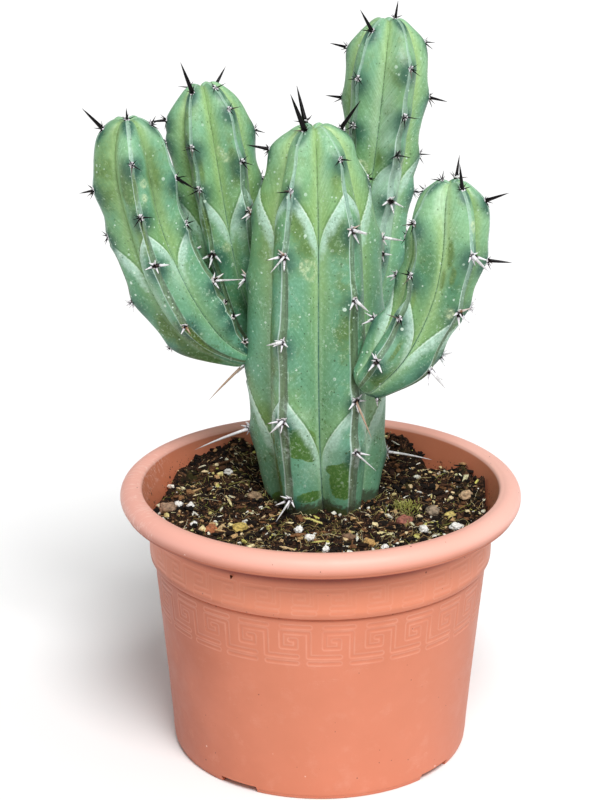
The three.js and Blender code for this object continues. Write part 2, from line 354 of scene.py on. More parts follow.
# curve: a cubic curve from foot to tip, in mm. radii: the rib edges' distance from it at equal steps.
# ribAngles: the ribs' turn from the front, degrees. areoles: spine cushions, mm below the tip, rib by rib.
# pauses: where growth stopped for a winter, mm below the tip: at each rib's edge, at the furrows, and how
# square the line turns down into the furrow (0.3 square, 0.7 even).
# boldSpines: [rib, areole, length, lift towards the tip, swing], mm and degrees; with a sixth number, tan.
# whiteFrom: from this far below the tip a rib's spines have weathered white.
# bareFrom: and from this far below, its cushions are worn small and have lost most of their short spines.
# rubs, worn spots: [rib place, mm below the tip, half width, half height, crispness].
# spots of deeper or lighter skin: the same, but the last number is deeper green or, below 0, lighter;
# partly the skin's own tone and bloom, partly painted shade and painted light.
# driedRings, where a drop dried: [rib place, mm below the tip, radius].
stems = {
    "main_stem": {
        "curve": [(5.5, 23, 128), (-5, 26.5, 214), (-2, 27, 307), (-5, 31.5, 408)],
        "radii": [31, 42, 45.5, 44, 38.7, 22.7],
        "capLength": 16.5,
        "ribAngles": [32, 99, 151, 209, 265, 332],
        "ribDepth": 0.276,
        "twist": 7,
        "around": 34,
        "rings": 290,
        "areoles": [
            [18, 60, 104, 170, 206],
            [4, 36, 75, 130, 222],
            [22, 176, 216],
            [1, 40, 88, 196],
            [15, 56, 99, 157, 201],
            [2, 36, 75, 130, 182, 237],
        ],
        "pauses": [[[37, 37, 37, 37, 38, 35.5], 81, 0.44], [[173, 166, 166, 166, 164, 166], 219, 0.55]],
        "whiteFrom": [48, 48, 48, 48, 48, 48],
        "boldSpines": [
            [5, 0, 27, 64, -19], [3, 0, 24, 68, 0], [1, 0, 22, 53, -5], [4, 0, 15, 13, 6],
            [5, 5, 25, -14, 7], [4, 4, 39, -16, 6], [4, 3, 33, -41, 12, 1], [1, 2, 15.5, -11, -3],
            [1, 4, 31, -11, -5], [5, 2, 24, -13, 4], [5, 3, 17, 7, -8], [5, 4, 18.5, -9, 1],
            [0, 1, 15, -2, 4], [0, 2, 18, -12, -4], [0, 3, 27, -50, 1, 1], [0, 4, 26, -11, -1],
        ],
        "rubs": [
            [5.16, 56, 6.5, 14, 1.2], [5.28, 70, 7, 9, 0.7], [5.8, 64, 9, 15, 1.1],
            [5.87, 33, 4.5, 13, 0.5], [5.2, 198, 11, 11, 3.5], [5.36, 206, 6, 6, 3],
            [5.84, 226, 9, 14, 2.0], [5.72, 218, 6, 4, 2], [4.4, 186, 6, 9, 2.2], [5.3, 236, 9, 4, 1.5],
            [5.5, 250, 20, 5, 1.2], [4.62, 76, 8, 30, 0.75], [4.72, 140, 9, 34, 0.65],
            [0.35, 140, 8, 30, 0.4], [4.7, 228, 8, 20, 1.2], [4.5, 246, 12, 8, 1.2],
            [4.72, 182, 5, 22, 1.0], [5.88, 120, 5, 26, 0.5], [4.3, 64, 8, 22, 0.4],
        ],
        "driedRings": [[5.36, 86, 4.2], [5.28, 82, 2.5], [4.6, 120, 3.5], [4.66, 128, 2.5]],
        "toneShadeAndLightSpots": [
            [4.9, 130, 4, 40, -0.4], [0.3, 92, 8, 30, 0.7], [0.3, 40, 9, 20, 0.35],
            [4.85, 60, 7, 14, 0.5], [5.4, 214, 12, 16, -0.5], [5.75, 205, 9, 22, -0.4],
            [5.25, 180, 7, 6, -0.7], [5.6, 30, 6, 18, -0.4], [5.5, 60, 5, 22, -0.3],
            [0.35, 198, 8, 18, -0.8], [0.66, 190, 8, 18, -0.9], [4.4, 30, 9, 22, 0.4],
            [0.7, 100, 10, 60, 0.4],
        ],
    },
    "left_branch": {
        "curve": [(-45, 33, 253), (-83, 31, 265), (-118, 26.5, 334), (-122, 25.5, 414)],
        "radii": [7, 22.8, 27.4, 25.4, 26, 24],
        "capLength": 29,
        "ribAngles": [-2, 67, 140, 214, 285],
        "ribDepth": 0.3,
        "twist": 20,
        "around": 30,
        "rings": 210,
        "areoles": [
            [1, 24, 58, 90, 134],
            [5, 42, 75, 121, 140, 154, 176],
            [26, 63, 105],
            [22, 58, 99, 140],
            [5, 40, 69, 111, 145],
        ],
        "pauses": [[[69, 76, 71, 70, 72], 107, 0.48]],
        "whiteFrom": [88, 95, 95, 95, 95],
        "bareFrom": 128,
        "boldSpines": [
            [4, 0, 19, 51, -4], [1, 3, 23, -14, -4], [4, 1, 9.4, 3, -2], [1, 1, 15, -29, -17],
            [0, 0, 8, 78, 0],
        ],
        "rubs": [
            [4.86, 38, 6.5, 16, 1.5], [4.91, 68, 3.5, 18, 1.4], [4.4, 132, 8, 14, 1.0],
            # the three rubs on the next line lie on the branch's underside, where their dark olive is also
            # painted shade
            [4.35, 158, 12, 14, 2.0], [4.86, 142, 7, 14, 2.0], [4.62, 148, 12, 18, 2.2],
            [4.25, 30, 8, 34, 0.4], [0.55, 38, 6, 20, 0.45],
        ],
        "toneShadeAndLightSpots": [
            [0.12, 60, 4, 14, 0.4], [4.7, 112, 7, 18, -0.7], [0.35, 104, 7, 18, -0.7],
            [4.3, 120, 8, 30, 0.6], [0.62, 34, 10, 34, 0.45], [0.3, 150, 8, 22, -0.3],
            [4.35, 34, 12, 36, 0.4],
        ],
        "driedRings": [[0.2, 38, 1.6], [0.16, 47, 1.2]],
    },
    "rear_left_branch": {
        "curve": [(-26, 58, 246), (-58, 68.5, 266), (-62, 63, 344), (-77, 71, 426.5)],
        "radii": [14, 21, 23.9, 26.8, 27.6, 26.2],
        "capLength": 32.7,
        "ribAngles": [39, 105, 161, 221, 284, 338],
        "ribDepth": 0.286,
        "twist": 1,
        "around": 26,
        "rings": 200,
        "areoles": [
            [4, 17, 50, 82, 122],
            [36, 68, 108],
            [7, 44, 84, 124],
            [3, 30, 66, 104],
            [19, 33, 68, 108],
            [4, 36, 63, 106],
        ],
        "pauses": [[[66, 68, 69, 68, 67, 67.5], 100, 0.6]],
        "whiteFrom": [85, 85, 85, 85, 85, 85],
        "bareFrom": 130,
        "boldSpines": [[5, 0, 22.5, 68, -1], [2, 0, 18, 43, -30], [4, 0, 12, 6, 3]],
        "rubs": [
            [4.75, 42, 6, 26, 0.7], [5.1, 52, 2, 12, 1.0], [5.86, 50, 3.5, 14, 0.9],
            [4.9, 84, 5, 12, 0.7],
        ],
        "driedRings": [[5.6, 42, 1.8], [5.7, 46, 1.4], [5.35, 104, 1.6]],
        "toneShadeAndLightSpots": [
            [5.35, 86, 6, 12, -0.7], [5.85, 96, 6, 14, -0.8], [0.3, 60, 7, 30, 0.4], [5.9, 112, 7, 12, 0.6],
            [5.1, 135, 14, 30, 0.9],
        ],
    },
    "tall_branch": {
        "curve": [(17, 62, 262), (31, 84, 283.5), (41.5, 77.5, 399), (44, 85, 466.5)],
        "radii": [18, 26.5, 24, 25, 28, 24.4],
        "capLength": 31,
        "ribAngles": [22, 91, 166, 237, 314],
        "ribDepth": 0.276,
        "twist": 21,
        "around": 30,
        "rings": 230,
        "areoles": [
            [1, 29, 59, 84, 114, 150],
            [15, 50, 87, 111, 152],
            [8, 40, 78, 120, 160],
            [22, 56, 94, 136],
            [8, 37, 68, 104, 144],
        ],
        "pauses": [[[87, 85, 85, 84, 86], 112, 0.5]],
        "whiteFrom": [100, 100, 100, 100, 100],
        "boldSpines": [
            [4, 0, 17.5, 51, -14], [0, 0, 12, 72, -15], [3, 0, 13, 8, 4], [3, 1, 13, -1, 2],
            [1, 1, 13, -10, -2], [0, 3, 15, 24, -22],
        ],
        "rubs": [
            [4.86, 46, 5, 17, 0.15], [4.9, 26, 3, 12, 0.1], [4.15, 30, 3, 9, 0.2], [4.62, 88, 4, 8, 0.6],
        ],
        "driedRings": [[4.2, 96, 4.0], [4.3, 104, 2.6], [0.3, 90, 3.0]],
        "toneShadeAndLightSpots": [
            [4.66, 68, 8, 20, -1.0], [4.86, 22, 3, 5, -0.9], [4.5, 44, 9, 34, -0.5],
            [0.0, 112, 8, 24, -0.9], [4.75, 118, 9, 22, -1.0], [0.3, 122, 8, 24, -0.8],
        ],
    },
    "right_branch": {
        "curve": [(24.5, -14, 248), (51, -12, 271), (80.5, -19.5, 306), (80, -13.4, 383.5)],
        "radii": [11, 22.4, 22.1, 24.1, 25.3, 23.6],
        "capLength": 29,
        "ribAngles": [43, 88, 176, 253, 317],
        "ribDepth": 0.264,
        "twist": -43,
        "around": 30,
        "rings": 200,
        "areoles": [
            [4, 40, 74, 111, 147],
            [11, 45, 74, 106],
            [1, 34, 68, 104],
            [9, 42, 71, 108],
            [1, 26, 61, 92, 126],
        ],
        "pauses": [[[79, 78, 76, 78, 76], 118, 0.55]],
        "whiteFrom": [38, 62, 62, 62, 100],
        "bareFrom": 140,
        "boldSpines": [
            [2, 0, 14.5, 70, -1], [0, 0, 18, 67, -44], [1, 0, 16, 23, -1], [1, 1, 15.5, 7, 2],
            [0, 1, 20, -13, -2], [0, 3, 17, -7, -1],
        ],
        "rubs": [
            [4.66, 42, 2.5, 9, 1.6], [4.58, 58, 2, 7, 1.6], [4.74, 54, 2.5, 7, 1.2], [3.9, 50, 4, 20, 0.7],
            [4.1, 78, 1.5, 14, 1.2], [4.2, 112, 1.5, 10, 1.6], [4.3, 138, 7, 8, 0.7],
        ],
        "driedRings": [[0.12, 24, 1.8], [4.85, 76, 1.6]],
        "toneShadeAndLightSpots": [
            [4.22, 54, 7, 26, 1.0], [4.82, 62, 6, 24, 1.0], [0.3, 60, 8, 40, 0.9], [4.8, 102, 8, 14, 0.6],
            [4.5, 56, 6, 22, 0.4], [4.25, 90, 5, 20, 0.5], [4.4, 14, 5, 16, -0.6],
            [4.52, 40, 2.5, 30, -0.8], [0.05, 22, 3, 8, -0.7], [4.1, 112, 5, 22, -0.4],
        ],
    },
}

skin = {
    "crestHalfWidth": [0.9, 2.9],  # the flat band on a rib's edge, at the tip and low down
    "crestLift": 0.4,
    "furrowDepth": 1.1,
    "furrowWidth": 0.8,
    "areoleSwell": 2.5,  # the rib stands out round each spine cushion
    "pauseLip": 1.0,  # growth older than a pause stands proud of the younger by this much
    "tipDimple": 3.0,
    "tipLobes": 1.5,  # the ribs rise round the dimple at the tip
    "footRound": 8.0,  # a side stem's foot is rounded off over this length
    "footPlain": 26.0,  # and its ribs fade out over this one
    "unevenness": 0.6,
}


def bezier(curve, t):
    a, b, c, d = [Vector(point) for point in curve]
    return a * (1 - t) ** 3 + b * (3 * t * (1 - t) ** 2) + c * (3 * t * t * (1 - t)) + d * t**3


def bezierWay(curve, t):
    a, b, c, d = [Vector(point) for point in curve]
    return ((b - a) * (1 - t) ** 2 + (c - b) * (2 * t * (1 - t)) + (d - c) * t * t).normalized()


def measureStem(stem):
    steps = 400
    points = [bezier(stem["curve"], i / steps) for i in range(steps + 1)]
    run = [0.0]
    for i in range(steps):
        run.append(run[-1] + (points[i + 1] - points[i]).length)
    stem["run"] = run
    stem["length"] = run[-1]


def stemStation(stem, below):
    # the middle line at a distance below the tip, with the ways along it, to its front and its right
    share = min(max(1 - below / stem["length"], 0.0), 1.0)
    run = stem["run"]
    goal = share * stem["length"]
    i = min(max(bisect.bisect_left(run, goal), 1), len(run) - 1)
    t = (i - 1 + (goal - run[i - 1]) / (run[i] - run[i - 1])) / (len(run) - 1)
    along = bezierWay(stem["curve"], t)
    front = (Vector((0.0, -1.0, 0.0)) + along * along.y).normalized()
    return bezier(stem["curve"], t), along, front, along.cross(front)


def ribRadius(stem, below):
    tipReach = min(below / stem["capLength"], 1.0)
    footReach = min(max(stem["length"] - below, 0.0) / skin["footRound"], 1.0)
    rounded = math.sqrt((1 - (1 - tipReach) ** 2.2) * (1 - (1 - footReach) ** 2.2))
    return smoothThrough(stem["radii"], 1 - below / stem["length"]) * rounded


def ribTurn(stem, ribPlace, share):
    angles = stem["ribAngles"]
    whole = math.floor(ribPlace)
    start = angles[whole % len(angles)] + 360 * (whole // len(angles))
    end = angles[(whole + 1) % len(angles)] + 360 * ((whole + 1) // len(angles))
    turn = start + (end - start) * (ribPlace - whole) + stem["twist"] * (share - 0.5)
    return math.radians(turn), math.radians(end - start) / 2


def pauseLine(pause, rib, fold, leftward):
    # how far below the tip the growth pause runs, from a rib's edge (fold 0) to the furrow (fold 1)
    edges, furrow, curve = pause
    edge = edges[rib]
    drop = furrow - edge
    curve += 0.04 * math.sin(4.1 * rib + 2.3 * leftward + furrow)
    rest = max(1 - fold, 0.004)
    return edge + drop * (1 - rest**curve), drop * curve * rest ** (curve - 1)


def skinFacts(stem, ribPlace, below):
    # everything the shape and the colour need to know about one place on a stem
    share = 1 - below / stem["length"]
    turn, halfAngle = ribTurn(stem, ribPlace, share)
    offset = ribPlace - round(ribPlace)
    fold = 2 * abs(offset)
    rib = round(ribPlace) % len(stem["ribAngles"])
    radius = ribRadius(stem, below)
    side = fold * halfAngle * radius
    tight, loose = skin["crestHalfWidth"]
    crest = tight + (loose - tight) * smoothStep(0, 150, below) * min(radius / 30, 1.2)
    crest *= 1 + 0.45 * noise.noise(Vector((below * 0.045, rib * 3.7, stem["length"])))
    crest = min(crest, 0.12 * halfAngle * radius + 0.2)
    mark = 1000.0
    for pause in stem["pauses"]:
        line, slope = pauseLine(pause, rib, fold, offset < 0)
        steep = min(slope / max(halfAngle * radius, 1.0), 2.2)
        away = (below - line) / math.sqrt(1 + steep * steep)
        if abs(away) < abs(mark):
            mark = away
    halo = 0.0
    swell = 0.0
    for areole in stem["areoles"][rib]:
        drop = below - areole
        if abs(drop) > 40:
            continue
        size = smoothStep(-6, 30, areole) * 0.5 + 0.5
        halo = max(halo, math.exp(-((side / (7.6 * size)) ** 2) - ((drop - 3.0) / (9.5 * size)) ** 2))
        reach = 10.5 if drop > 0 else 7.5
        swell = max(swell, math.exp(-((side / 9.0) ** 2) - (drop / reach) ** 2))
    return {
        "turn": turn, "fold": fold, "rib": rib, "radius": radius, "side": side, "halfAngle": halfAngle,
        "crest": crest, "mark": mark, "halo": halo, "swell": swell, "leftward": offset < 0,
    }


def skinRadius(stem, facts, below):
    radius, fold, side = facts["radius"], facts["fold"], facts["side"]
    plain = smoothStep(2.0, skin["footPlain"], stem["length"] - below)
    sized = smoothStep(1.0, 14.0, radius) * (0.25 + 0.75 * plain)
    width = facts["halfAngle"] * radius + 0.01
    depth = stem["ribDepth"] * radius * (0.3 + 0.7 * plain)
    fall = depth * fold**1.35
    crestFall = depth * min(facts["crest"] / width, 1) ** 1.35
    if side < facts["crest"]:
        fall = crestFall - skin["crestLift"] * sized * (0.8 + 0.2 * (side / facts["crest"]) ** 2)
    else:
        fall = fall - skin["crestLift"] * sized * math.exp(-(side - facts["crest"]) / 1.2)
    out = radius - fall
    # the faces between edge and furrow bulge a little, and sag towards the furrow
    out += 0.035 * radius * sized * (math.sin(math.pi * min(fold * 1.15, 1.0)) - 0.45 * fold)
    furrow = (1 - fold) * width
    crease = math.exp(-((furrow / skin["furrowWidth"]) ** 2))
    out -= skin["furrowDepth"] * plain * smoothStep(0.5, 9.0, radius) * crease
    out += skin["areoleSwell"] * sized * (facts["swell"] - 0.35 * (1 - fold))
    if 0 < facts["mark"] < 60:
        across = smoothStep(0.02, 0.1, fold) * (1 - smoothStep(0.9, 0.995, fold))
        lip = smoothStep(0, 0.9, facts["mark"]) * math.exp(-facts["mark"] / 7.0)
        out += skin["pauseLip"] * sized * across * lip
    return out


def skinPoint(stem, station, facts, below):
    middle, along, front, right = station
    out = skinRadius(stem, facts, below)
    point = middle + (front * math.cos(facts["turn"]) + right * math.sin(facts["turn"])) * out
    wander = skin["unevenness"] * smoothStep(1.0, 14.0, facts["radius"])
    point += (point - middle) * (wander * noise.noise(point * 0.045) / max(out, 1.0))
    if below < 30:
        lobe = skin["tipLobes"] * (1 - facts["fold"]) * math.exp(-(((out - 9) / 5) ** 2))
        point += along * (lobe - skin["tipDimple"] * math.exp(-((out / 4.5) ** 2)))
    return point


def roundTo(stem, facts, ribPlace, place):
    # the way round the stem from one rib place to another, in mm
    ribs = len(stem["ribAngles"])
    apart = (ribPlace - place + ribs / 2) % ribs - ribs / 2
    return apart * 2 * facts["halfAngle"] * facts["radius"]


def rubbed(stem, facts, ribPlace, below):
    most = 0.0
    for place, middle, halfWidth, halfHeight, crispness in stem["rubs"]:
        across = roundTo(stem, facts, ribPlace, place) / halfWidth
        up = (below - middle) / halfHeight
        away = math.sqrt(across * across + up * up)
        most = max(most, min(max((1 - away) * crispness + 0.5, 0.0), 1.0))
    return most


def scarred(stem, facts, ribPlace, below):
    # pale rings where a drop dried or something scratched the skin
    most = 0.0
    for place, middle, size in stem["driedRings"]:
        away = math.hypot(roundTo(stem, facts, ribPlace, place), (below - middle) * 0.8)
        most = max(most, math.exp(-(((away - size) / 0.9) ** 2)))
    return most


def toneShadeAndLightAt(stem, facts, ribPlace, below):
    total = 0.0
    for place, middle, halfWidth, halfHeight, amount in stem["toneShadeAndLightSpots"]:
        across = roundTo(stem, facts, ribPlace, place) / halfWidth
        up = (below - middle) / halfHeight
        total += amount * math.exp(-across * across - up * up)
    return min(max(total, -1.0), 1.0)


def makeStem(name):
    stem = stems[name]
    ribs = len(stem["ribAngles"])
    half = stem["around"] // 2  # steps from a rib's edge to the furrow
    around = ribs * half * 2
    rings = stem["rings"]
    bm = bmesh.new()
    bmesh.ops.create_uvsphere(bm, u_segments=around, v_segments=rings, radius=1.0)
    kept = ("fold", "below", "mark", "halo", "crest", "rub", "side", "rib", "scurf", "toneShadeAndLight")
    layers = {key: bm.verts.layers.float.new(key) for key in kept}
    stations = {}
    for vert in bm.verts:
        down = math.acos(min(max(vert.co.z, -1.0), 1.0)) / math.pi
        ring = round(down * rings)
        below = stem["length"] * (ring / rings) ** 1.3
        if ring not in stations:
            stations[ring] = stemStation(stem, below)
        step = round(math.atan2(vert.co.y, vert.co.x) / (2 * math.pi) * around) % around
        t = (step % half) / half
        eased = t - 0.5 * math.sin(2 * math.pi * t) / (2 * math.pi)
        ribPlace = (step // half + eased) / 2
        if ring == 0 or ring == rings:
            middle, along = stations[ring][:2]
            vert.co = middle - along * (skin["tipDimple"] if ring == 0 else 0.0)
            carried = {"fold": 1.0, "below": below, "mark": -100.0, "crest": 9.0}
        else:
            facts = skinFacts(stem, ribPlace, below)
            vert.co = skinPoint(stem, stations[ring], facts, below)
            hand = -1 if facts["leftward"] else 1
            carried = {
                "fold": facts["fold"],
                "below": below,
                "mark": max(min(facts["mark"], 100.0), -100.0),
                "halo": facts["halo"],
                "crest": hand * facts["side"] / facts["crest"],
                "side": hand * facts["side"],
                "rib": facts["rib"],
                "rub": rubbed(stem, facts, ribPlace, below),
                "scurf": scarred(stem, facts, ribPlace, below),
                "toneShadeAndLight": toneShadeAndLightAt(stem, facts, ribPlace, below),
            }
        for key, value in carried.items():
            vert[layers[key]] = value
    bmesh.ops.recalc_face_normals(bm, faces=bm.faces)
    finishPiece(bm, name + "_skin", "stem_skin", [name])


def skinMaterial():
    finish = Finish("stem_skin")
    spot = finish.spot()
    carried = ("fold", "below", "mark", "halo", "crest", "side", "rub", "scurf", "toneShadeAndLight")
    fold, below, mark, halo, crest, side, rub, scurf, toneShadeAndLight = [finish.read(name) for name in carried]
    fromEdge = finish.sums("ABSOLUTE", side)
    onCrest = finish.sums("ABSOLUTE", crest)
    broad = finish.noisy(spot, 26, 3)
    patchy = finish.noisy(spot, 75, 5, 0.62)
    fine = finish.noisy(spot, 520, 4, 0.68)
    # fine streaks fan down from each rib's edge to the furrow
    fan = finish.tree.nodes.new("ShaderNodeCombineXYZ")
    slant = finish.sums("SUBTRACT", below, finish.times(fromEdge, 1.7))
    finish.plug(finish.times(slant, 0.7), fan.inputs["X"])
    finish.plug(finish.times(side, 0.05), fan.inputs["Y"])
    finish.plug(finish.times(finish.read("rib"), 7.3), fan.inputs["Z"])
    streaks = finish.noisy(fan.outputs["Vector"], 1.0, 3, 0.6)
    fresh = finish.fade(mark, 4.0, -4.0)

    # from the yellow-green of this year's growth down to the bluer green of old skin
    age = finish.plus(below, finish.swing(broad, 60))
    finish.colour = finish.ramp(finish.sums("DIVIDE", age, 280), [
        (0.0, (150, 197, 152)),
        (0.18, (127, 176, 128)),
        (0.42, (102, 158, 122)),
        (1.0, (112, 170, 138)),
    ])
    finish.paint([(broad, 0.45, 0.68), 0.5], (108, 170, 146))
    # the skin is yellower deep between the ribs
    finish.paint([(fold, 0.45, 1.0), (below, 170, 50, 0.15, 0.7)], (178, 206, 130))
    # deeper blue-green in some places, lighter in others: partly the skin's own tone and bloom, partly
    # painted shade and painted light
    cloudy = finish.fade(finish.plus(patchy, finish.times(streaks, 0.5)), 0.55, 0.95, 0.65, 1.0)
    finish.paint([(toneShadeAndLight, 0.0, 1.0, 0.0, 0.92), cloudy], (56, 116, 80))
    paleToneAndLight = finish.times((toneShadeAndLight, 0.0, -1.0, 0.0, 0.8), cloudy)
    finish.paint(paleToneAndLight, (188, 224, 200))
    # dull olive where it was rubbed
    finish.paint([(patchy, 0.48, 0.7), (fold, 1.0, 0.3, 0.1, 0.36)], (124, 150, 88))
    ragged = finish.plus(rub, finish.swing(patchy, 1.3), finish.swing(fine, 0.7))
    crisp = finish.times((ragged, 0.42, 0.58), (below, 170, 190))
    soft = finish.times((ragged, 0.2, 1.0), (below, 190, 170, 0.0, 0.84))
    worn = finish.times(finish.sums("MAXIMUM", crisp, soft), (rub, 0.0, 0.15))
    wornTone = finish.blend(finish.fade(below, 150, 190), (86, 114, 38), (76, 118, 38))
    wornTone = finish.blend(finish.fade(fine, 0.45, 0.68, 0.0, 0.4), wornTone, (128, 152, 78))
    finish.paint([worn, 0.9], wornTone)
    # dark green freckles run together on the oldest skin
    freckles = finish.noisy(spot, 230, 4, 0.7)
    clusters = finish.noisy(spot, 38, 3)
    finish.paint([(freckles, 0.55, 0.6), (below, 110, 190), (clusters, 0.46, 0.6), 0.7], (68, 106, 48))
    # a pause in growth: bloom on the older side, yellow-green on the younger
    bloomReach = finish.plus(mark, finish.swing(patchy, 14))
    older = finish.times((mark, -0.1, 0.3), (bloomReach, 8.5, 2.5), (fine, 0.3, 0.6, 0.65, 1.0))
    finish.paint([older, 0.9], (190, 224, 206))
    finish.paint([(mark, 0.1, -0.3), (mark, -14.0, -0.5), 0.45], (140, 178, 100))
    finish.paint([finish.near(mark, 0.35, 0.6), (patchy, 0.3, 0.6, 0.4, 0.9)], (216, 238, 218))
    finish.paint([finish.near(mark, -0.6, 0.8), 0.5], (74, 112, 62))
    # streaks
    streakTone = finish.ramp(streaks, [(0.3, (0.8, 0.85, 0.76, 1.0)), (0.68, (1.16, 1.12, 1.16, 1.0))])
    streakShare = finish.times((fresh, 0.0, 1.0, 0.3, 0.8), (fold, 0.05, 0.3))
    finish.paint(streakShare, streakTone, "MULTIPLY")
    # the dark blue-green shadow round each spine cushion
    finish.paint([(halo, 0.0, 0.85), (patchy, 0.3, 0.7, 0.7, 0.95)], (38, 88, 76))
    # the furrow's thin dark line, painted shade in its crease, with lighter skin just beside it
    finish.paint([(fold, 0.8, 0.96), (below, 20, 120, 0.2, 0.45)], (180, 216, 176))
    line = finish.times((fold, 0.97, 0.988), (below, 2.0, 16.0))
    furrowShadeTone = finish.ramp(finish.sums("DIVIDE", below, 160), [
        (0.2, (86, 116, 62)), (0.7, (62, 112, 108)),
    ])
    line = finish.times(line, (patchy, 0.35, 0.6, 0.5, 0.95))
    finish.paint(line, furrowShadeTone)
    # the rib's edge: a grey band, with a fine pale line on its left that is a painted highlight and a
    # darker right side that is painted shade
    bandTone = finish.ramp(finish.sums("DIVIDE", below, 260), [
        (0.0, (182, 220, 194)),
        (0.15, (156, 194, 178)),
        (0.34, (116, 146, 112)),
        (0.6, (108, 130, 94)),
        (1.0, (122, 136, 118)),
    ])
    grain = finish.noisy(finish.spot((1.0, 1.0, 0.1)), 650, 4, 0.65)
    grainShare = finish.times((grain, 0.42, 0.6, 0.0, 0.7), (below, 20, 130, 0.3, 1.0))
    bandTone = finish.blend(grainShare, bandTone, (82, 98, 70))
    bandShade = finish.times((crest, -0.2, 0.9), (below, 20, 130, 0.2, 0.4))
    bandTone = finish.blend(bandShade, bandTone, (60, 84, 72))
    chalk = finish.times((patchy, 0.53, 0.62), (below, 150, 200, 0.0, 0.7))
    bandTone = finish.blend(chalk, bandTone, (190, 206, 198))
    # the lighter spots, partly painted light, reach over the band too
    bandTone = finish.blend(finish.times(paleToneAndLight, 0.9), bandTone, (186, 220, 208))
    frayed = finish.plus(onCrest, finish.swing(grain, 0.5))
    band = finish.times((frayed, 1.1, 0.84), (below, 0.0, 40.0, 0.55, 0.9))
    finish.paint(band, bandTone)
    edgeHighlight = finish.times(
        finish.near(crest, -1.02, 0.3), (below, 4.0, 20.0, 0.5, 0.85), (broad, 0.38, 0.58, 0.45, 1.0),
    )
    finish.paint(edgeHighlight, (206, 230, 220))
    # a fainter painted highlight along the band's right edge
    finish.paint([finish.near(crest, 1.08, 0.24), (patchy, 0.45, 0.6, 0.0, 0.55)], (180, 210, 194))
    # a rubbed patch runs on over the rib's edge
    finish.paint([soft, (rub, 0.3, 0.7), band], wornTone)
    # scurf: dried rings, pale flecks in clusters, and a dusting on the older skin
    finish.paint([scurf, (fine, 0.4, 0.6, 0.3, 0.85)], (206, 222, 176))
    flecks = finish.sums("MAXIMUM", finish.dots(spot, 170, 0.2, 0.34), finish.dots(spot, 360, 0.28, 0.32))
    clustered = finish.fade(finish.noisy(spot, 42, 3), 0.4, 0.58, 0.15, 1.0)
    flecks = finish.times(flecks, clustered, (below, 10, 90, 0.55, 1.0))
    finish.paint([flecks, 0.9], (212, 236, 218))
    dusting = finish.times((fine, 0.54, 0.66), (patchy, 0.42, 0.6, 0.08, 0.5), (below, 20, 90, 0.4, 1.0))
    finish.paint(dusting, (180, 210, 186))
    pits = finish.sums("MAXIMUM", finish.dots(spot, 260, 0.2, 0.18), finish.dots(spot, 520, 0.28, 0.24))
    pits = finish.times(pits, (below, 60, 180, 0.5, 0.8))
    finish.paint(pits, (56, 84, 42))
    mottle = finish.ramp(fine, [(0.3, (0.8, 0.82, 0.78, 1.0)), (0.7, (1.17, 1.15, 1.18, 1.0))])
    finish.paint(0.85, mottle, "MULTIPLY")
    # soil splashed on the foot
    muddy = finish.plus(
        finish.fade(below, 222, 256), finish.sums("SUBTRACT", patchy, 0.5), finish.swing(fine, 0.5),
    )
    finish.paint(finish.fade(muddy, 0.55, 0.75, 0.0, 0.8), (54, 46, 30))
    finish.close(finish.fade(patchy, 0.3, 0.7, 0.36, 0.56), 0.45)
    height = finish.plus(
        fine, finish.times(grain, band), finish.times(streaks, streakShare), finish.times(flecks, 0.8),
    )
    finish.roughen(height, 0.3, 0.0006)


# ---- spine cushions and spines ----

spines = {
    # each short spine's turn from up, in degrees, and its length
    "radials": [(-38, 5.2), (40, 5.4), (106, 8.6), (-110, 9.0), (176, 7.4), (-70, 5.0)],
    "jitter": 13,  # degrees
    "youngShare": 0.62,  # radial spines close to the tip are this much shorter
    "boldGirth": 1.2,
    "oldGirth": 0.62,  # long spines on the older skin are thin
    "needles": 3,  # short dark spines on an old cushion
    "boldBlunt": 2.1,  # bold spines keep their thickness longer before they taper
    "thinnest": 0.36,
    "radiusPerLength": 0.036,
    "rooted": 1.2,
    "cushion": (1.7, 2.1, 0.9),  # half width, half height along the rib, how far it stands out
    "tufts": 6,
    "centralEvery": 0.55,  # share of the plain cushions that have a central spine
    "seed": 21,
}


def addSpine(bm, layers, shape, foot, way, bend, length, old, girth=1.0, blunt=1.5, tint=None):
    radius = (spines["thinnest"] + spines["radiusPerLength"] * length) * girth
    root = foot - way * spines["rooted"]
    whole = length + spines["rooted"]
    side = way.orthogonal().normalized()
    other = way.cross(side)

    def moved(rest):
        t = rest.z
        taper = (1 - t**blunt) * 0.95 + 0.05 + 0.35 * math.exp(-((t * whole / (2.0 * radius + 0.5)) ** 2))
        around = (side * rest.x + other * rest.y) * radius * taper
        return root + way * (t * whole) + bend * (t * t * length) + around

    tint = random.random() if tint is None else tint

    def run(rest):
        return rest.z if whole < 14 else min(rest.z * whole / 8, 0.88)

    stamp(bm, shape, moved, {layers["run"]: run, layers["old"]: old, layers["tint"]: tint})


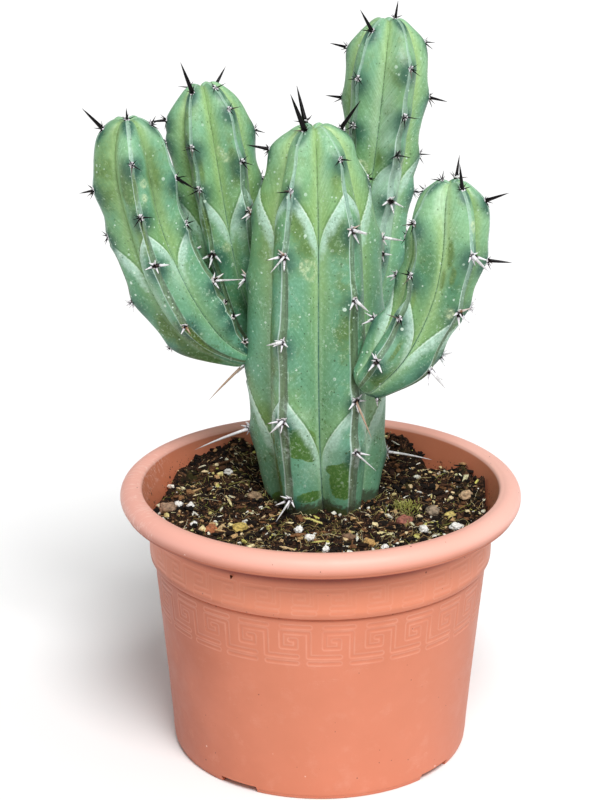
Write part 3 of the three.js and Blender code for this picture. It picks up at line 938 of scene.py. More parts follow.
def spinesOf(name):
    stem = stems[name]
    random.seed(spines["seed"] + len(name))
    bm = bmesh.new()
    layers = {key: bm.verts.layers.float.new(key) for key in ("run", "old", "tint")}
    felt = bmesh.new()
    feltLayers = {key: felt.verts.layers.float.new(key) for key in ("old", "core")}
    shape = rodShape(6, 6)
    pad = ballShape(2)
    tuft = ballShape(1)
    straight = Vector((0.0, 0.0, 0.0))
    for rib, distances in enumerate(stem["areoles"]):
        for index, below in enumerate(distances):
            station = stemStation(stem, below)
            facts = skinFacts(stem, rib, below)
            foot = skinPoint(stem, station, facts, below)
            middle, along, front, right = station
            plain = front * math.cos(facts["turn"]) + right * math.sin(facts["turn"])
            sideways = along.cross(plain)
            nearTip = max(0.0, 1 - below / 14)
            outward = (plain + along * 1.1 * nearTip).normalized()
            upward = (along - outward * along.dot(outward)).normalized()
            whitened = stem["whiteFrom"][rib]
            old = smoothStep(whitened - 12, whitened + 10, below + random.uniform(-6, 6))
            grown = 0.62 + 0.38 * smoothStep(0, 60, below)
            bare = below > stem.get("bareFrom", 1000)
            full = 0.75 + 0.25 * grown
            worn = 0.7 if bare else 1
            width, height, out = [size * full * worn for size in spines["cushion"]]

            def padded(rest):
                lump = 1 + 0.35 * noise.noise(rest * 2.4 + foot * 0.3)
                return (
                    foot + (sideways * rest.x * width + upward * rest.y * height) * lump
                    + outward * rest.z * out * lump
                )

            def tilted(angle, lift):
                # the way round the cushion at this angle from up, and the same lifted off the skin
                flat = upward * math.cos(angle) + sideways * math.sin(angle)
                return flat, flat * math.cos(lift) + outward * math.sin(lift)

            def core(rest):
                return 1 - smoothStep(0.3 + 0.15 * old, 0.7 + 0.2 * old, math.hypot(rest.x, rest.y))

            stamp(felt, pad, padded, {feltLayers["old"]: old, feltLayers["core"]: core})
            for i in range(spines["tufts"]):
                angle = 2 * math.pi * (i + random.uniform(-0.3, 0.3)) / spines["tufts"]
                across, up = math.cos(angle) * width * 0.9, math.sin(angle) * height * 0.9
                middle = foot + sideways * across + upward * up
                size = random.uniform(0.45, 0.85)

                def tufted(rest):
                    lump = 1 + 0.5 * noise.noise(rest * 2.0 + middle)
                    lifted = outward * (rest.z + 0.5)
                    return middle + (sideways * rest.x + upward * rest.y + lifted) * (size * lump)

                stamp(felt, tuft, tufted, {feltLayers["old"]: old, feltLayers["core"]: 0.0})
            turned = random.uniform(-spines["jitter"], spines["jitter"])
            for angle, length in spines["radials"]:
                if random.random() < (0.6 if bare else 0.08 + 0.16 * old):
                    continue
                angle = math.radians(angle + turned + random.uniform(-spines["jitter"], spines["jitter"]))
                length = length * (spines["youngShare"] + (1 - spines["youngShare"]) * grown)
                length *= random.uniform(0.75 - 0.15 * old, 1.2)
                length *= (0.9 + 0.3 * old) * (0.6 if bare else 1.0)
                flat, way = tilted(angle, math.radians(random.uniform(22, 42)))
                start = foot + flat * 0.8 + outward * 0.2
                bend = outward * random.uniform(-0.12, 0.1)
                addSpine(bm, layers, shape, start, way, bend, length, old, 0.85 + 0.65 * old)
            for i in range(round(spines["needles"] * old)):
                flat, way = tilted(random.uniform(0, 2 * math.pi), random.uniform(0.5, 1.3))
                start = foot + outward * 0.4
                addSpine(bm, layers, shape, start, way, straight, random.uniform(2.2, 4.2), 0.0, 1.15)
            bold = [entry for entry in stem["boldSpines"] if entry[0] == rib and entry[1] == index]
            if bold:
                length, lift, swing = bold[0][2], math.radians(bold[0][3]), math.radians(bold[0][4])
                way = (
                    plain * (math.cos(lift) * math.cos(swing))
                    + sideways * (math.cos(lift) * math.sin(swing))
                    + along * math.sin(lift)
                )
                thinner = (spines["oldGirth"] - spines["boldGirth"]) * old * (length > 20)
                girth = spines["boldGirth"] + thinner
                bend = along * (-0.07 if length > 30 else 0.0)
                tint = 1.0 if len(bold[0]) > 5 else 0.3
                addSpine(bm, layers, shape, foot, way, bend, length, old, girth, spines["boldBlunt"], tint)
            elif random.random() < spines["centralEvery"] and not bare:
                tilt = math.radians(random.uniform(-30, 8) + 70 * nearTip)
                leaning = sideways * random.uniform(-0.3, 0.3)
                way = (outward * math.cos(tilt) + upward * math.sin(tilt) + leaning).normalized()
                length = random.uniform(6.0, 8.5) * (0.6 + 0.4 * grown)
                addSpine(bm, layers, shape, foot, way, straight, length, old)
    finishPiece(bm, name + "_spines", "spine")
    finishPiece(felt, name + "_cushions", "cushion_felt")


def spineMaterial():
    finish = Finish("spine")
    run = finish.read("run")
    old = finish.read("old")
    tint = finish.read("tint")
    streak = finish.noisy(finish.spot(), 600, 3, 0.6)
    young = finish.ramp(run, [
        (0.0, (40, 18, 20)), (0.16, (9, 6, 8)), (1.0, (12, 9, 11)),
    ])
    young = finish.blend(finish.fade(tint, 0.88, 0.97, 0.0, 0.4), young, (150, 132, 122))
    white = finish.ramp(run, [
        (0.0, (22, 15, 16)), (0.3, (22, 14, 16)), (0.4, (232, 230, 236)),
        (0.84, (252, 250, 252)), (0.96, (60, 46, 44)),
    ])
    white = finish.blend(finish.fade(streak, 0.54, 0.66, 0.0, 0.5), white, (120, 106, 98))
    white = finish.blend(finish.fade(tint, 0.86, 1.0, 0.0, 0.8), white, (170, 132, 96))
    finish.colour = finish.blend(finish.fade(old, 0.35, 0.65), young, white)
    finish.close(finish.fade(old, 0.0, 1.0, 0.35, 0.65), 0.15)
    finish.roughen(streak, 0.3, 0.0003)


def feltMaterial():
    finish = Finish("cushion_felt")
    spot = finish.spot()
    tufts = finish.noisy(spot, 900, 4, 0.7)
    finish.colour = finish.ramp(tufts, [
        (0.32, (120, 112, 116)), (0.42, (232, 230, 236)), (0.7, (255, 254, 255)),
    ])
    finish.paint([(finish.noisy(spot, 300, 2), 0.54, 0.64, 0.0, 0.3)], (190, 160, 172), "MULTIPLY")
    finish.paint([finish.read("old"), (tufts, 0.4, 0.6, 0.4, 0.08)], (160, 134, 90))
    core = finish.read("core")
    finish.paint(core, (26, 18, 18))
    finish.close(0.95)
    finish.put("Sheen Weight", 0.3)
    finish.roughen(tufts, 0.8, 0.0008)


# ---- the pot ----

pot = {
    "steps": 240,
    # outside of the wall: (radius, height)
    "outline": [
        (96.0, 0.0), (97.9, 9.0), (98.7, 20.0), (101.2, 50.0), (105.7, 100.0), (108.3, 128.0),
        (109.2, 130.5), (111.5, 134.5), (111.8, 150.0), (112.0, 163.0),
    ],
    "wall": 2.8,
    "rimRadius": 130.0,
    "rimCentre": 173.0,
    "rimHalfWidth": 8.0,
    "rimHalfHeight": 7.5,
    "lipAngle": -62,
    "insideAngle": 112,
    "lipSteps": 64,
    "bead": 0.75,
    "footWidth": 8.0,
    "floorRecess": 6.0,
    "floorThickness": 3.0,
    "notchAngles": [-33, 50, 147, 230],
    "notchWidth": 27.0,
    "notchHeight": 4.5,
    "drainRadius": 6.0,
    "drainCircle": 58.0,
    "drainCount": 6,
}
innerFloor = pot["floorRecess"] + pot["floorThickness"]


def wallRadius(height):
    # outside of the wall: the lower wall leans out gently, then steps out to the band under the rim
    outline = pot["outline"]
    for (r0, z0), (r1, z1) in zip(outline, outline[1:]):
        if height <= z1:
            return r0 + (r1 - r0) * (height - z0) / (z1 - z0)
    return outline[-1][0]


# Two bands of square meanders are pressed into the wall. A groove is a run of straight strokes:
# (distance round the pot, distance down from the band's top), in mm, within one repeat.
keyBands = {
    "lower": {
        "repeats": 25,
        "pressed": 0.24,  # how deep the grooves are, mm
        "top": 127.6,
        "turn": 0.2,  # degrees: where the first repeat starts, from the front
        "height": 29.8,
        "strokes": [
            [(1.9, 2.1), (19.2, 2.1)],
            [(6.9, 11.4), (10.4, 11.4), (10.4, 16.7), (1.5, 16.7),
             (1.5, 6.2), (18.5, 6.2), (18.5, 23.1), (38.0, 23.1)],
            [(-8.0, 27.7), (11.0, 27.7)],
        ],
    },
    "upper": {
        "repeats": 30,
        "pressed": 0.13,
        "top": 153.6,
        "turn": 2.5,
        "height": 18.9,
        "strokes": [
            [(-22.0, 13.6), (-8.6, 13.6), (-8.6, 2.0), (10.0, 2.0),
             (10.0, 9.9), (2.2, 9.9), (2.2, 5.9), (6.6, 5.9)],
            [(1.4, 17.2), (13.9, 17.2)],
        ],
    },
}
keyGroove = {
    "halfWidth": 1.15,
    "slope": 0.34,
    "ridge": 0.35,  # the raised edge beside a groove, as a share of its depth
    "columnSize": 0.448,
    "rowSize": 0.5,
    "thickness": 1.2,
}


def awayFromStroke(x, y, start, end):
    along = (end[0] - start[0], end[1] - start[1])
    share = ((x - start[0]) * along[0] + (y - start[1]) * along[1]) / (along[0] ** 2 + along[1] ** 2)
    share = min(max(share, 0.0), 1.0)
    return math.hypot(x - start[0] - along[0] * share, y - start[1] - along[1] * share)


def keyShape(band, period, x, y):
    # how deep the wall is pressed in here, and how much of an edge there is to paint pale, as wear and as a
    # painted highlight
    nearest = 9.0
    for stroke in band["strokes"]:
        for start, end in zip(stroke, stroke[1:]):
            for shift in (-2 * period, -period, 0.0, period):
                nearest = min(nearest, awayFromStroke(x + shift, y, start, end))
    edge, slope = keyGroove["halfWidth"], keyGroove["slope"]
    depth = 1 - smoothStep(edge - slope, edge + slope, nearest)
    rim = math.exp(-(((nearest - edge - slope) / 0.4) ** 2))
    return band["pressed"] * (depth - keyGroove["ridge"] * rim), rim


def makeKeyBand(name):
    band = keyBands[name]
    rows = round(band["height"] / keyGroove["rowSize"])
    period = 2 * math.pi * wallRadius(band["top"] - band["height"] / 2) / band["repeats"]
    columns = round(period / keyGroove["columnSize"])
    shapes = [
        [keyShape(band, period, (column + 0.5) * period / columns, row * band["height"] / rows)
         for row in range(rows + 1)]
        for column in range(columns)
    ]
    bm = bmesh.new()
    # the worn layer carries the groove edges' paleness: wear and a painted highlight
    worn = bm.verts.layers.float.new("worn")
    outside = []
    for row in range(rows + 1):
        height = band["top"] - row * band["height"] / rows
        outside.append(bm.verts.new((wallRadius(height), 0.0, height)))
    low = band["top"] - band["height"]
    back = [
        bm.verts.new((wallRadius(low) - keyGroove["thickness"], 0.0, low)),
        bm.verts.new((wallRadius(band["top"]) - keyGroove["thickness"], 0.0, band["top"])),
    ]
    loop = outside + back
    edges = [bm.edges.new((loop[i], loop[(i + 1) % len(loop)])) for i in range(len(loop))]
    total = columns * band["repeats"]
    turnRound(bm, loop + edges, total)
    stepAngle = 2 * math.pi / total
    for vert in bm.verts:
        radius = math.hypot(vert.co.x, vert.co.y)
        height = vert.co.z
        if radius < wallRadius(height) - keyGroove["thickness"] / 2:
            continue
        column = round(math.atan2(vert.co.y, vert.co.x) / stepAngle) % total
        row = round((band["top"] - height) / band["height"] * rows)
        closing = min(row, rows - row, 1)
        depth, rim = shapes[column % columns][row]
        out = radius - depth * closing
        vert[worn] = rim
        # column 0 starts at the band's turn from the front of the pot
        angle = (column + 0.5) * stepAngle + math.radians(band["turn"] - 90)
        vert.co = Vector((out * math.cos(angle), out * math.sin(angle), height))
    bmesh.ops.recalc_face_normals(bm, faces=bm.faces)
    finishPiece(bm, "pot_key_band_" + name, "pot_plastic", sharpAngle=50)


def makePot():
    centre = pot["rimRadius"] - pot["rimHalfWidth"]
    footInside = pot["outline"][0][0] - pot["footWidth"]

    def roll(thinner, start, end, steps):
        points = []
        for i in range(steps + 1):
            angle = math.radians(start + (end - start) * i / steps)
            points.append((
                centre + (pot["rimHalfWidth"] - thinner) * math.cos(angle),
                pot["rimCentre"] + (pot["rimHalfHeight"] - thinner) * math.sin(angle),
            ))
        return points

    def behind(height, less=0.0):
        return wallRadius(height) - pot["wall"] - less

    recess = pot["floorRecess"]
    profile = [(0.0, recess), (footInside - 2, recess), (footInside, recess - 1.5)]
    profile += [(footInside, 0.8), (footInside + 0.8, 0.0), (95.2, 0.0), (96.1, 0.5)]
    profile += [(96.7, 2.9), (97.3, 3.3), (98.0, 9.0)]
    profile += [(wallRadius(z), z) for z in range(14, 98, 6)]
    for name in ("lower", "upper"):
        band = keyBands[name]
        low = band["top"] - band["height"]
        sunk = keyGroove["thickness"]
        channel = [
            (wallRadius(low), low), (wallRadius(low) - sunk, low),
            (wallRadius(band["top"]) - sunk, band["top"]), (wallRadius(band["top"]), band["top"]),
        ]
        if name == "upper":
            # the crease and the step above it
            profile += [(108.4, 128.6), (108.2, 130.0), (107.7, 130.7), (108.3, 131.3), (110.4, 131.9)]
            profile += [(111.3, 133.0), (111.5, 134.5)]
        profile += channel
    profile += [(112.0, 160.0), (112.3, 163.6), (113.2, 165.6)]
    profile += roll(pot["wall"], 200, pot["lipAngle"] + 10, 8)[2:]
    steps = pot["lipSteps"]
    lip = roll(0.0, pot["lipAngle"], 0.0, 1)[0]
    profile += [(lip[0] - 0.6, lip[1] + 0.2)]
    for i in range(steps + 1):
        angle = pot["lipAngle"] + (pot["insideAngle"] - pot["lipAngle"]) * i / steps
        # a bead runs round the lip, with a shallow groove above it
        proud = math.exp(-(((angle + 53) / 5) ** 2))
        groove = math.exp(-(((angle + 39) / 5) ** 2))
        profile += roll(-pot["bead"] * (proud - 0.55 * groove), angle, angle, 1)[:1]
    # the inside runs straight down from the roll
    profile += [(118.1, 179.8), (117.2, 179.5), (116.5, 179.0), (116.0, 178.1), (115.6, 177.0)]
    profile += [(114.9, 174.6), (113.9, 171.4), (112.9, 168.0), (112.0, 164.5)]
    profile += [(111.1, 161.0), (110.2, 157.5)]
    profile += [(109.3, 153.0), (behind(146.0), 146.0)]
    profile += [(behind(138.0), 138.0), (behind(128.0), 128.0)]
    profile += [(behind(100.0), 100.0), (behind(50.0), 50.0), (behind(20.0), innerFloor + 6)]
    profile += [(behind(20.0, 1.2), innerFloor + 2), (behind(20.0, 4), innerFloor), (0.0, innerFloor)]
    bm = bmesh.new()
    verts = [bm.verts.new((radius, 0.0, height)) for radius, height in profile]
    edges = [bm.edges.new(pair) for pair in zip(verts, verts[1:])]
    turnRound(bm, verts + edges, pot["steps"])
    bmesh.ops.remove_doubles(bm, verts=bm.verts, dist=0.01)
    bmesh.ops.recalc_face_normals(bm, faces=bm.faces)
    inside = bm.verts.layers.float.new("inside")
    for vert in bm.verts:
        radius = math.hypot(vert.co.x, vert.co.y)
        reach = wallRadius(vert.co.z) - 1.5 if vert.co.z < 160 else 111.3 + 0.262 * (vert.co.z - 160)
        if innerFloor - 1 < vert.co.z < 178 and radius < reach:
            vert[inside] = 1.0
    piece = finishPiece(bm, "pot_body", "pot_plastic", ["pot"])
    cutFeet(piece)
    piece.data.set_sharp_from_angle(angle=math.radians(32))


def cutFeet(piece):
    # the foot's four notches and the drain holes, cut with a boolean
    bm = bmesh.new()
    for angle in pot["notchAngles"]:
        turned = Matrix.Rotation(math.radians(angle), 4, "Z")
        size = Matrix.Diagonal((pot["notchWidth"], 3 * pot["footWidth"], 2 * pot["notchHeight"], 1.0))
        out = Matrix.Translation((0.0, -pot["outline"][0][0] + pot["footWidth"] / 2, 0.0))
        bmesh.ops.create_cube(bm, size=1.0, matrix=turned @ out @ size)
    for i in range(pot["drainCount"]):
        angle = 2 * math.pi * i / pot["drainCount"]
        circle = pot["drainCircle"]
        spot = Matrix.Translation((circle * math.cos(angle), circle * math.sin(angle), 0.0))
        bmesh.ops.create_cone(
            bm, cap_ends=True, segments=32, radius1=pot["drainRadius"], radius2=pot["drainRadius"],
            depth=4 * innerFloor, matrix=spot,
        )
    bm.transform(toFrame)
    cutter = addObject("foot_cutter", meshOf(bm, "foot_cutter"))
    cut = piece.modifiers.new("feet", "BOOLEAN")
    cut.operation = "DIFFERENCE"
    cut.object = cutter
    bpy.context.view_layer.update()
    shaped = bpy.data.meshes.new_from_object(piece.evaluated_get(bpy.context.evaluated_depsgraph_get()))
    piece.modifiers.remove(cut)
    piece.data = shaped
    piece.data.name = "pot_body"
    bpy.data.objects.remove(cutter)


def plasticMaterial():
    finish = Finish("pot_plastic")
    spot = finish.spot()
    parts = finish.tree.nodes.new("ShaderNodeSeparateXYZ")
    finish.plug(spot, parts.inputs[0])
    across = parts.outputs["X"]
    height = parts.outputs["Z"]
    cloud = finish.noisy(spot, 14, 4, 0.6)
    grime = finish.noisy(spot, 60, 5, 0.65)
    fine = finish.noisy(spot, 1100, 3, 0.6)
    finish.colour = finish.ramp(cloud, [(0.3, (204, 120, 88)), (0.7, (214, 128, 97))])
    # the pot's left and right sides are painted a deeper orange, painted shade where they turn away from
    # the light; places on the pot are in metres from here on
    kept = finish.plus(across, finish.swing(cloud, 0.05))
    inside = finish.read("inside")
    outside = finish.sums("SUBTRACT", 1.0, inside)
    finish.paint([(kept, -0.02, -0.105, 0.0, 0.75), outside], (160, 72, 40))
    finish.paint([(kept, 0.075, 0.13, 0.0, 0.45), outside], (176, 94, 66))
    # the wall close under the rim is painted a deep orange, a painted shadow under the rim
    finish.paint([(height, 0.151, 0.16, 0.0, 0.92), (height, 0.1675, 0.166), outside], (126, 32, 6))
    # the rim is painted paler: partly bleached a little in the sun, partly a painted highlight from the
    # light above
    bleachedAndLit = finish.sums("SUBTRACT", finish.fade(height, 0.1675, 0.1765, 0.0, 0.84), inside)
    finish.paint(bleachedAndLit, (249, 186, 170))
    # a stronger painted highlight on the rim's right side
    finish.paint([bleachedAndLit, (across, 0.085, 0.125, 0.0, 0.3)], (255, 216, 204))
    # the band under the rim is painted a little brighter than the wall below it: painted light that lifts
    # the rim's shadow there
    finish.paint([(height, 0.1345, 0.137), (height, 0.159, 0.154, 0.0, 0.5), outside], (240, 148, 112))
    # dusty bloom, stronger low down and in blotches
    finish.paint([(grime, 0.52, 0.74), (height, 0.12, 0.0, 0.08, 0.22)], (226, 168, 148))
    # the key pattern's edges are painted pale: partly rubbed, partly a painted highlight along the grooves
    worn = finish.times(
        finish.read("worn"), (grime, 0.35, 0.6, 0.2, 0.55), (height, 0.148, 0.129, 0.3, 0.6),
    )
    finish.paint(worn, (240, 180, 158))
    # long scratches and small dark specks
    scratches = finish.noisy(finish.spot((1.0, 1.0, 9.0)), 55, 2, 0.4, 1.2)
    finish.paint([finish.near(scratches, 0.5, 0.004), (grime, 0.52, 0.62), 0.3], (238, 190, 172))
    scuffs = finish.noisy(finish.spot((0.5, 2.6, 0.9)), 120, 2, 0.5)
    scuffed = finish.times(
        finish.near(scuffs, 0.5, 0.035), (across, -0.088, -0.1), (height, 0.165, 0.168),
    )
    finish.paint([scuffed, 0.5], (252, 214, 202))
    specks = finish.sums("MAXIMUM", finish.dots(spot, 110, 0.06, 0.26), finish.dots(spot, 210, 0.08, 0.16))
    finish.paint([specks, 0.75], (104, 52, 36))
    pale = finish.dots(spot, 95, 0.05, 0.12)
    finish.paint([pale, 0.6], (250, 226, 212))
    # the inside wall turns a darker orange towards the soil, and soil sticks to it in specks
    darkerTowardsSoil = finish.plus(finish.fade(height, 0.178, 0.158), finish.sums("SUBTRACT", grime, 0.5))
    darkerTowardsSoil = finish.times((darkerTowardsSoil, 0.45, 1.0, 0.0, 0.4), inside)
    finish.paint(darkerTowardsSoil, (196, 112, 78))
    stuck = finish.sums("MAXIMUM", finish.dots(spot, 330, 0.34, 0.4), finish.dots(spot, 700, 0.4, 0.4))
    crowded = finish.times(finish.noisy(spot, 22, 2), (height, 0.18, 0.16, 0.5, 1.4))
    stuck = finish.times(stuck, (crowded, 0.46, 0.6), inside)
    finish.paint([stuck, 0.9], (52, 32, 22))
    finish.close(finish.fade(grime, 0.35, 0.75, 0.42, 0.58), 0.5)
    finish.roughen(finish.plus(fine, finish.times(grime, 1.5)), 0.12, 0.0004)


# ---- soil, stones and perlite ----

soil = {
    "level": 158.0,
    # heaps and hollows: x, y, height, spread
    "mounds": [
        (3, 24, 5, 34), (-80, 80, 13, 24), (-54, 99, 12, 17), (-102, 54, 5, 14), (48, 103, 17, 15),
        (63, 93, 11, 12), (100, 50, 11, 17), (113, 26, 15, 12), (72, 46, 3, 18), (-84, -30, -1.5, 26),
    ],
    "ripple": 0.7,
    "around": 430,
    "rings": 190,
    "clods": 3.4,
    "crumbs": 2.4,
    "grit": 0.95,
    "bits": 6200,
    "bitSize": (0.45, 2.3),
    "fibres": 1050,
    "fibreSteps": 7,
    "moss": (56, 4, 7.5, 150),  # x, y, reach, number of sprigs
    "bitReach": 107.5,  # loose bits lie this far out at most
    "fibreReach": 107,
    "stemFoot": (2, 24, 30),  # x, y and reach of the main stem's foot, which loose bits keep clear of
    "seed": 5,
}


def soilHeight(x, y):
    height = soil["level"]
    for moundX, moundY, rise, spread in soil["mounds"]:
        away = math.hypot(x - moundX, y - moundY) / spread
        height += rise * math.exp(-away * away)
    return height + soil["ripple"] * math.sin(x / 9) * math.cos(y / 11)


def soilTop(x, y):
    # the soil's level with its clods, crumbs and grit
    spot = Vector((x, y, 0.0))
    clods = noise.noise(spot * 0.1) + 0.5 * noise.noise(spot * 0.19 + Vector((5, 1, 8)))
    crumbs = abs(noise.noise(spot * 0.36)) + 0.6 * abs(noise.noise(spot * 0.62 + Vector((9, 4, 2))))
    grit = noise.noise(spot * 1.3)
    return soilHeight(x, y) + soil["clods"] * clods + soil["crumbs"] * (crumbs - 0.5) + soil["grit"] * grit


def soilEdge(angle):
    # the soil fills the pot out to its wall, which is wider where the soil is heaped up
    out = wallRadius(soil["level"]) - pot["wall"]
    heaped = soilHeight(out * math.cos(angle), out * math.sin(angle)) - soil["level"]
    return out - 0.4 + 0.22 * max(heaped, 0.0)


def makeSoil():
    bm = bmesh.new()
    rings = soil["rings"]
    topRings = rings - 12
    bmesh.ops.create_uvsphere(bm, u_segments=soil["around"], v_segments=rings, radius=1.0)
    for vert in bm.verts:
        ring = round(math.acos(min(max(vert.co.z, -1.0), 1.0)) / math.pi * rings)
        angle = math.atan2(vert.co.y, vert.co.x)
        if ring <= topRings:
            edge = soilEdge(angle)
            radius = edge * (ring / topRings) ** 0.85
            x, y = radius * math.cos(angle), radius * math.sin(angle)
            vert.co = Vector((x, y, soilTop(x, y) - 1.2 * smoothStep(edge - 2, edge, radius)))
        else:
            share = (ring - topRings) / (rings - topRings)
            deep = min(share * 1.6, 1.0)
            height = soil["level"] + (innerFloor + 0.4 - soil["level"]) * deep - 2 * (1 - deep)
            radius = wallRadius(max(height, 20)) - pot["wall"] - 0.6 - 4 * smoothStep(18, 9, height)
            if deep >= 1.0:
                radius *= (1 - share) / (1 - 1 / 1.6)
            vert.co = Vector((radius * math.cos(angle), radius * math.sin(angle), height))
    bmesh.ops.recalc_face_normals(bm, faces=bm.faces)
    finishPiece(bm, "soil_bed", "soil_mix", ["potting_soil"])


def onSoil(clumping=0.0):
    # a random spot on the soil, clear of the main stem; clumping gathers the spots in patches
    footX, footY, clear = soil["stemFoot"]
    while True:
        radius = soil["bitReach"] * math.sqrt(random.random())
        angle = random.uniform(0, 2 * math.pi)
        radius *= soilEdge(angle) / 108
        x, y = radius * math.cos(angle), radius * math.sin(angle)
        gathered = 0.5 + noise.noise(Vector((x * 0.045, y * 0.045, 3.0)))
        if math.hypot(x - footX, y - footY) > clear and random.random() > clumping * (1 - gathered):
            return x, y


def makeCrumbs():
    random.seed(soil["seed"])
    shape = ballShape(1)
    bm = bmesh.new()
    tone = bm.verts.layers.float.new("tone")
    smallest, largest = soil["bitSize"]
    for i in range(soil["bits"]):
        x, y = onSoil()
        size = smallest + (largest - smallest) * random.random() ** 3.4
        flat = random.uniform(0.35, 1.0)
        slender = random.random() < 0.35
        long = random.uniform(2.2, 4.4) if slender else random.uniform(1.0, 2.1)
        narrow = 0.55 if slender else 1.0
        facing = Matrix.Rotation(random.uniform(0, 6.28), 3, "Z")
        turn = facing @ Matrix.Rotation(random.uniform(-0.7, 0.7), 3, "X")
        middle = Vector((x, y, soilTop(x, y) + size * 0.25))
        shake = random.uniform(0, 50)

        def moved(rest):
            knob = 1 + 0.9 * noise.noise(rest * 2.3 + Vector((shake, 0.0, shake)))
            shaped = Vector((rest.x * long, rest.y * narrow, rest.z * flat * narrow))
            return middle + turn @ shaped * (size * knob)

        stamp(bm, shape, moved, {tone: random.random()})
    finishPiece(bm, "soil_crumbs", "crumbs", sharpAngle=22)


def makeFibres():
    random.seed(soil["seed"] + 1)
    steps = soil["fibreSteps"]
    shape = rodShape(4, steps)
    bm = bmesh.new()
    tone = bm.verts.layers.float.new("tone")

    def addFibre(points, radius, shade):
        def moved(rest):
            k = min(round(rest.z * steps), steps)
            way = (points[min(k + 1, steps)] - points[max(k - 1, 0)]).normalized()
            side = way.orthogonal().normalized()
            up = side.cross(way)
            return points[k] + (side * rest.x + up * rest.y) * radius

        stamp(bm, shape, moved, {tone: shade})

    for i in range(soil["fibres"]):
        x, y = onSoil(1.3)
        heading = random.uniform(0, 2 * math.pi)
        curl = random.gauss(0, 0.9)
        length = random.uniform(4, 22) * random.uniform(0.5, 1.0)
        radius = random.uniform(0.08, 0.18)
        arch = random.uniform(0.0, 2.2)
        lift = random.uniform(0.1, 0.7)
        points = []
        for k in range(steps + 1):
            if math.hypot(x, y) > soil["fibreReach"]:
                break
            share = k / steps
            points.append(Vector((x, y, soilTop(x, y) + lift + arch * math.sin(math.pi * share))))
            x += math.cos(heading) * length / steps
            y += math.sin(heading) * length / steps
            heading += curl / steps
        if len(points) > steps:
            addFibre(points, radius, random.random())
    # a clump of moss
    mossX, mossY, reach, sprigs = soil["moss"]
    for i in range(sprigs):
        x, y = mossX + random.gauss(0, reach / 2), mossY + random.gauss(0, reach / 2)
        lean = Vector((random.uniform(-0.7, 0.7), random.uniform(-0.7, 0.7), 1.0)).normalized()
        length = random.uniform(2.0, 5.0)
        foot = Vector((x, y, soilTop(x, y) - 0.3))
        curled = Vector((random.uniform(-1, 1), random.uniform(-1, 1), 0.0)) * (0.3 * length)
        points = []
        for k in range(steps + 1):
            points.append(foot + lean * (length * k / steps) + curled * (k / steps) ** 2)
        addFibre(points, 0.28, random.uniform(0.68, 0.82))
    finishPiece(bm, "soil_fibres", "fibres")


# each lump: x, y, width, depth, height in mm, and its turn in degrees
perlite = [
    (-62, 60, 6, 5, 4.5, 10), (-93, 10, 6, 5, 4.5, 40), (-85, 8, 5.5, 5, 4, 80), (-82, -20, 5, 4, 3.5, 15),
    (-14, -34, 6, 5, 4.5, 30), (-7, -46, 6.5, 6, 4.5, 5), (3, -65, 5.5, 4.5, 4, 60),
    (66, -30, 5.5, 6.5, 4.5, 25), (87, -28, 8, 6, 5, 0), (40, -60, 5.5, 4.5, 4, 70),
]
stones = [
    (-100, 2, 12, 10, 8, 20), (-43, 24, 10, 7, 6, -15), (-52, -27, 10, 8, 6.5, 35),
    (-71, -31, 11, 7, 5.5, 60),
    (54, -18, 11, 9, 7, 10), (73, -3, 11, 9, 7, 80), (84, -10, 9, 8, 6, 45), (97, 20, 12, 7, 6, 30),
    (30, -54, 9, 7, 6, -20), (17, -44, 9, 6, 5, 15),
]
# each stone's own colour, as a screen shows it
stoneTones = [
    (150, 122, 100), (160, 134, 104), (196, 170, 92), (170, 104, 66), (150, 92, 76),
    (146, 128, 108), (198, 178, 104), (186, 156, 122), (190, 150, 90), (120, 92, 70),
]
sunkShare = 0.45


def makeLump(name, size, knobs, material):
    x, y, width, depth, height, turn = size
    bm = bmesh.new()
    bmesh.ops.create_icosphere(bm, subdivisions=4, radius=1.0)
    turned = Matrix.Rotation(math.radians(turn), 3, "Z")
    middle = Vector((x, y, soilHeight(x, y) + height * (0.5 - sunkShare) + 0.6))
    shift = Vector((x, y, 3.0)) * 0.7
    for vert in bm.verts:
        rest = vert.co.copy()
        knob = 1 + knobs * noise.noise(rest * 1.7 + shift) + knobs * 0.4 * noise.noise(rest * 5 + shift)
        half = Vector((rest.x * width / 2, rest.y * depth / 2, rest.z * height / 2))
        vert.co = middle + turned @ (half * knob)
    finishPiece(bm, name + "_lump", material, [name])


def makeLoose():
    for i, size in enumerate(perlite):
        makeLump(f"perlite_{i + 1}", size, 0.45, "perlite_grain")
    for i, size in enumerate(stones):
        stoneMaterial(f"stone_skin_{i + 1}", stoneTones[i])
        makeLump(f"stone_{i + 1}", size, 0.3, f"stone_skin_{i + 1}")


def soilMaterial():
    finish = Finish("soil_mix")
    spot = finish.spot()
    crumbs = finish.noisy(spot, 380, 8, 0.78)
    finish.colour = finish.ramp(crumbs, [
        (0.38, (14, 9, 8)), (0.5, (46, 30, 22)), (0.57, (96, 64, 44)),
        (0.64, (168, 126, 92)), (0.72, (236, 208, 168)),
    ])
    finish.paint([(finish.noisy(spot, 60, 3), 0.56, 0.68, 0.0, 0.5)], (74, 74, 34))
    finish.close(0.95, 0.2)
    finish.roughen(crumbs, 1.0, 0.003)


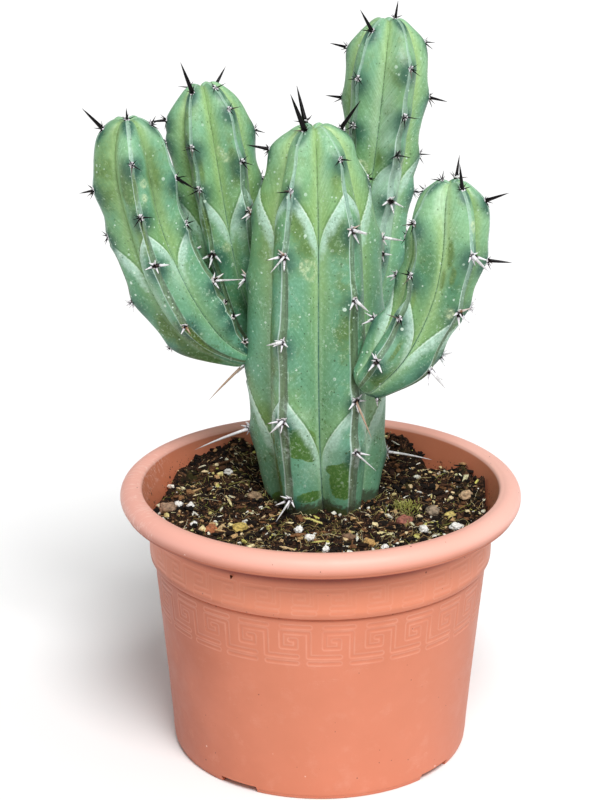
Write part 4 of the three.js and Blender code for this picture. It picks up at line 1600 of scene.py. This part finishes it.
def crumbMaterial():
    finish = Finish("crumbs")
    tone = finish.read("tone")
    mottle = finish.noisy(finish.spot(), 900, 3, 0.6)
    finish.colour = finish.ramp(tone, [
        (0.0, (12, 7, 5)), (0.54, (32, 20, 13)), (0.66, (74, 47, 31)),
        (0.75, (140, 98, 64)), (0.82, (216, 176, 124)), (0.88, (250, 230, 184)),
        (0.93, (214, 206, 104)), (0.97, (254, 250, 236)),
    ])
    shade = finish.ramp(mottle, [(0.3, (0.4, 0.4, 0.4, 1.0)), (0.7, (1.2, 1.2, 1.2, 1.0))])
    finish.paint(1.0, shade, "MULTIPLY")
    finish.close(0.9, 0.25)
    finish.roughen(mottle, 0.6, 0.0008)


def fibreMaterial():
    finish = Finish("fibres")
    tone = finish.read("tone")
    mottle = finish.noisy(finish.spot(), 500, 2, 0.6)
    finish.colour = finish.ramp(tone, [
        (0.0, (70, 48, 30)), (0.25, (128, 98, 60)), (0.5, (204, 174, 112)),
        (0.75, (150, 158, 66)), (0.88, (222, 206, 146)), (1.0, (250, 238, 202)),
    ])
    finish.paint(finish.fade(mottle, 0.4, 0.7, 0.0, 0.5), (60, 42, 26))
    finish.close(0.85)


def perliteMaterial():
    finish = Finish("perlite_grain")
    pores = finish.noisy(finish.spot(), 800, 4, 0.7)
    finish.colour = finish.ramp(pores, [(0.32, (190, 184, 172)), (0.55, (246, 244, 240))])
    finish.close(0.9)
    finish.roughen(pores, 0.7, 0.0008)


def stoneMaterial(name, tone):
    finish = Finish(name)
    spot = finish.spot()
    grain = finish.noisy(spot, 500, 4, 0.65)
    finish.colour = finish.ramp(grain, [
        (0.3, fromScreen(*[0.55 * value for value in tone])), (0.52, fromScreen(*tone)),
        (0.75, fromScreen(*[min(1.25 * value, 250) for value in tone])),
    ])
    finish.close(0.8)
    finish.roughen(grain, 0.5, 0.0008)


# ---- making everything ----

setCamera()
setStudio()
print("camera, floor and light are set")
plasticMaterial()
skinMaterial()
spineMaterial()
feltMaterial()
soilMaterial()
crumbMaterial()
fibreMaterial()
perliteMaterial()
makePot()
print("pot turned and cut")
for bandName in keyBands:
    makeKeyBand(bandName)
print("key bands pressed")
makeSoil()
makeCrumbs()
makeFibres()
makeLoose()
print("soil filled in")
for stemName in stems:
    measureStem(stems[stemName])
    makeStem(stemName)
    spinesOf(stemName)
    print(stemName, "grown")
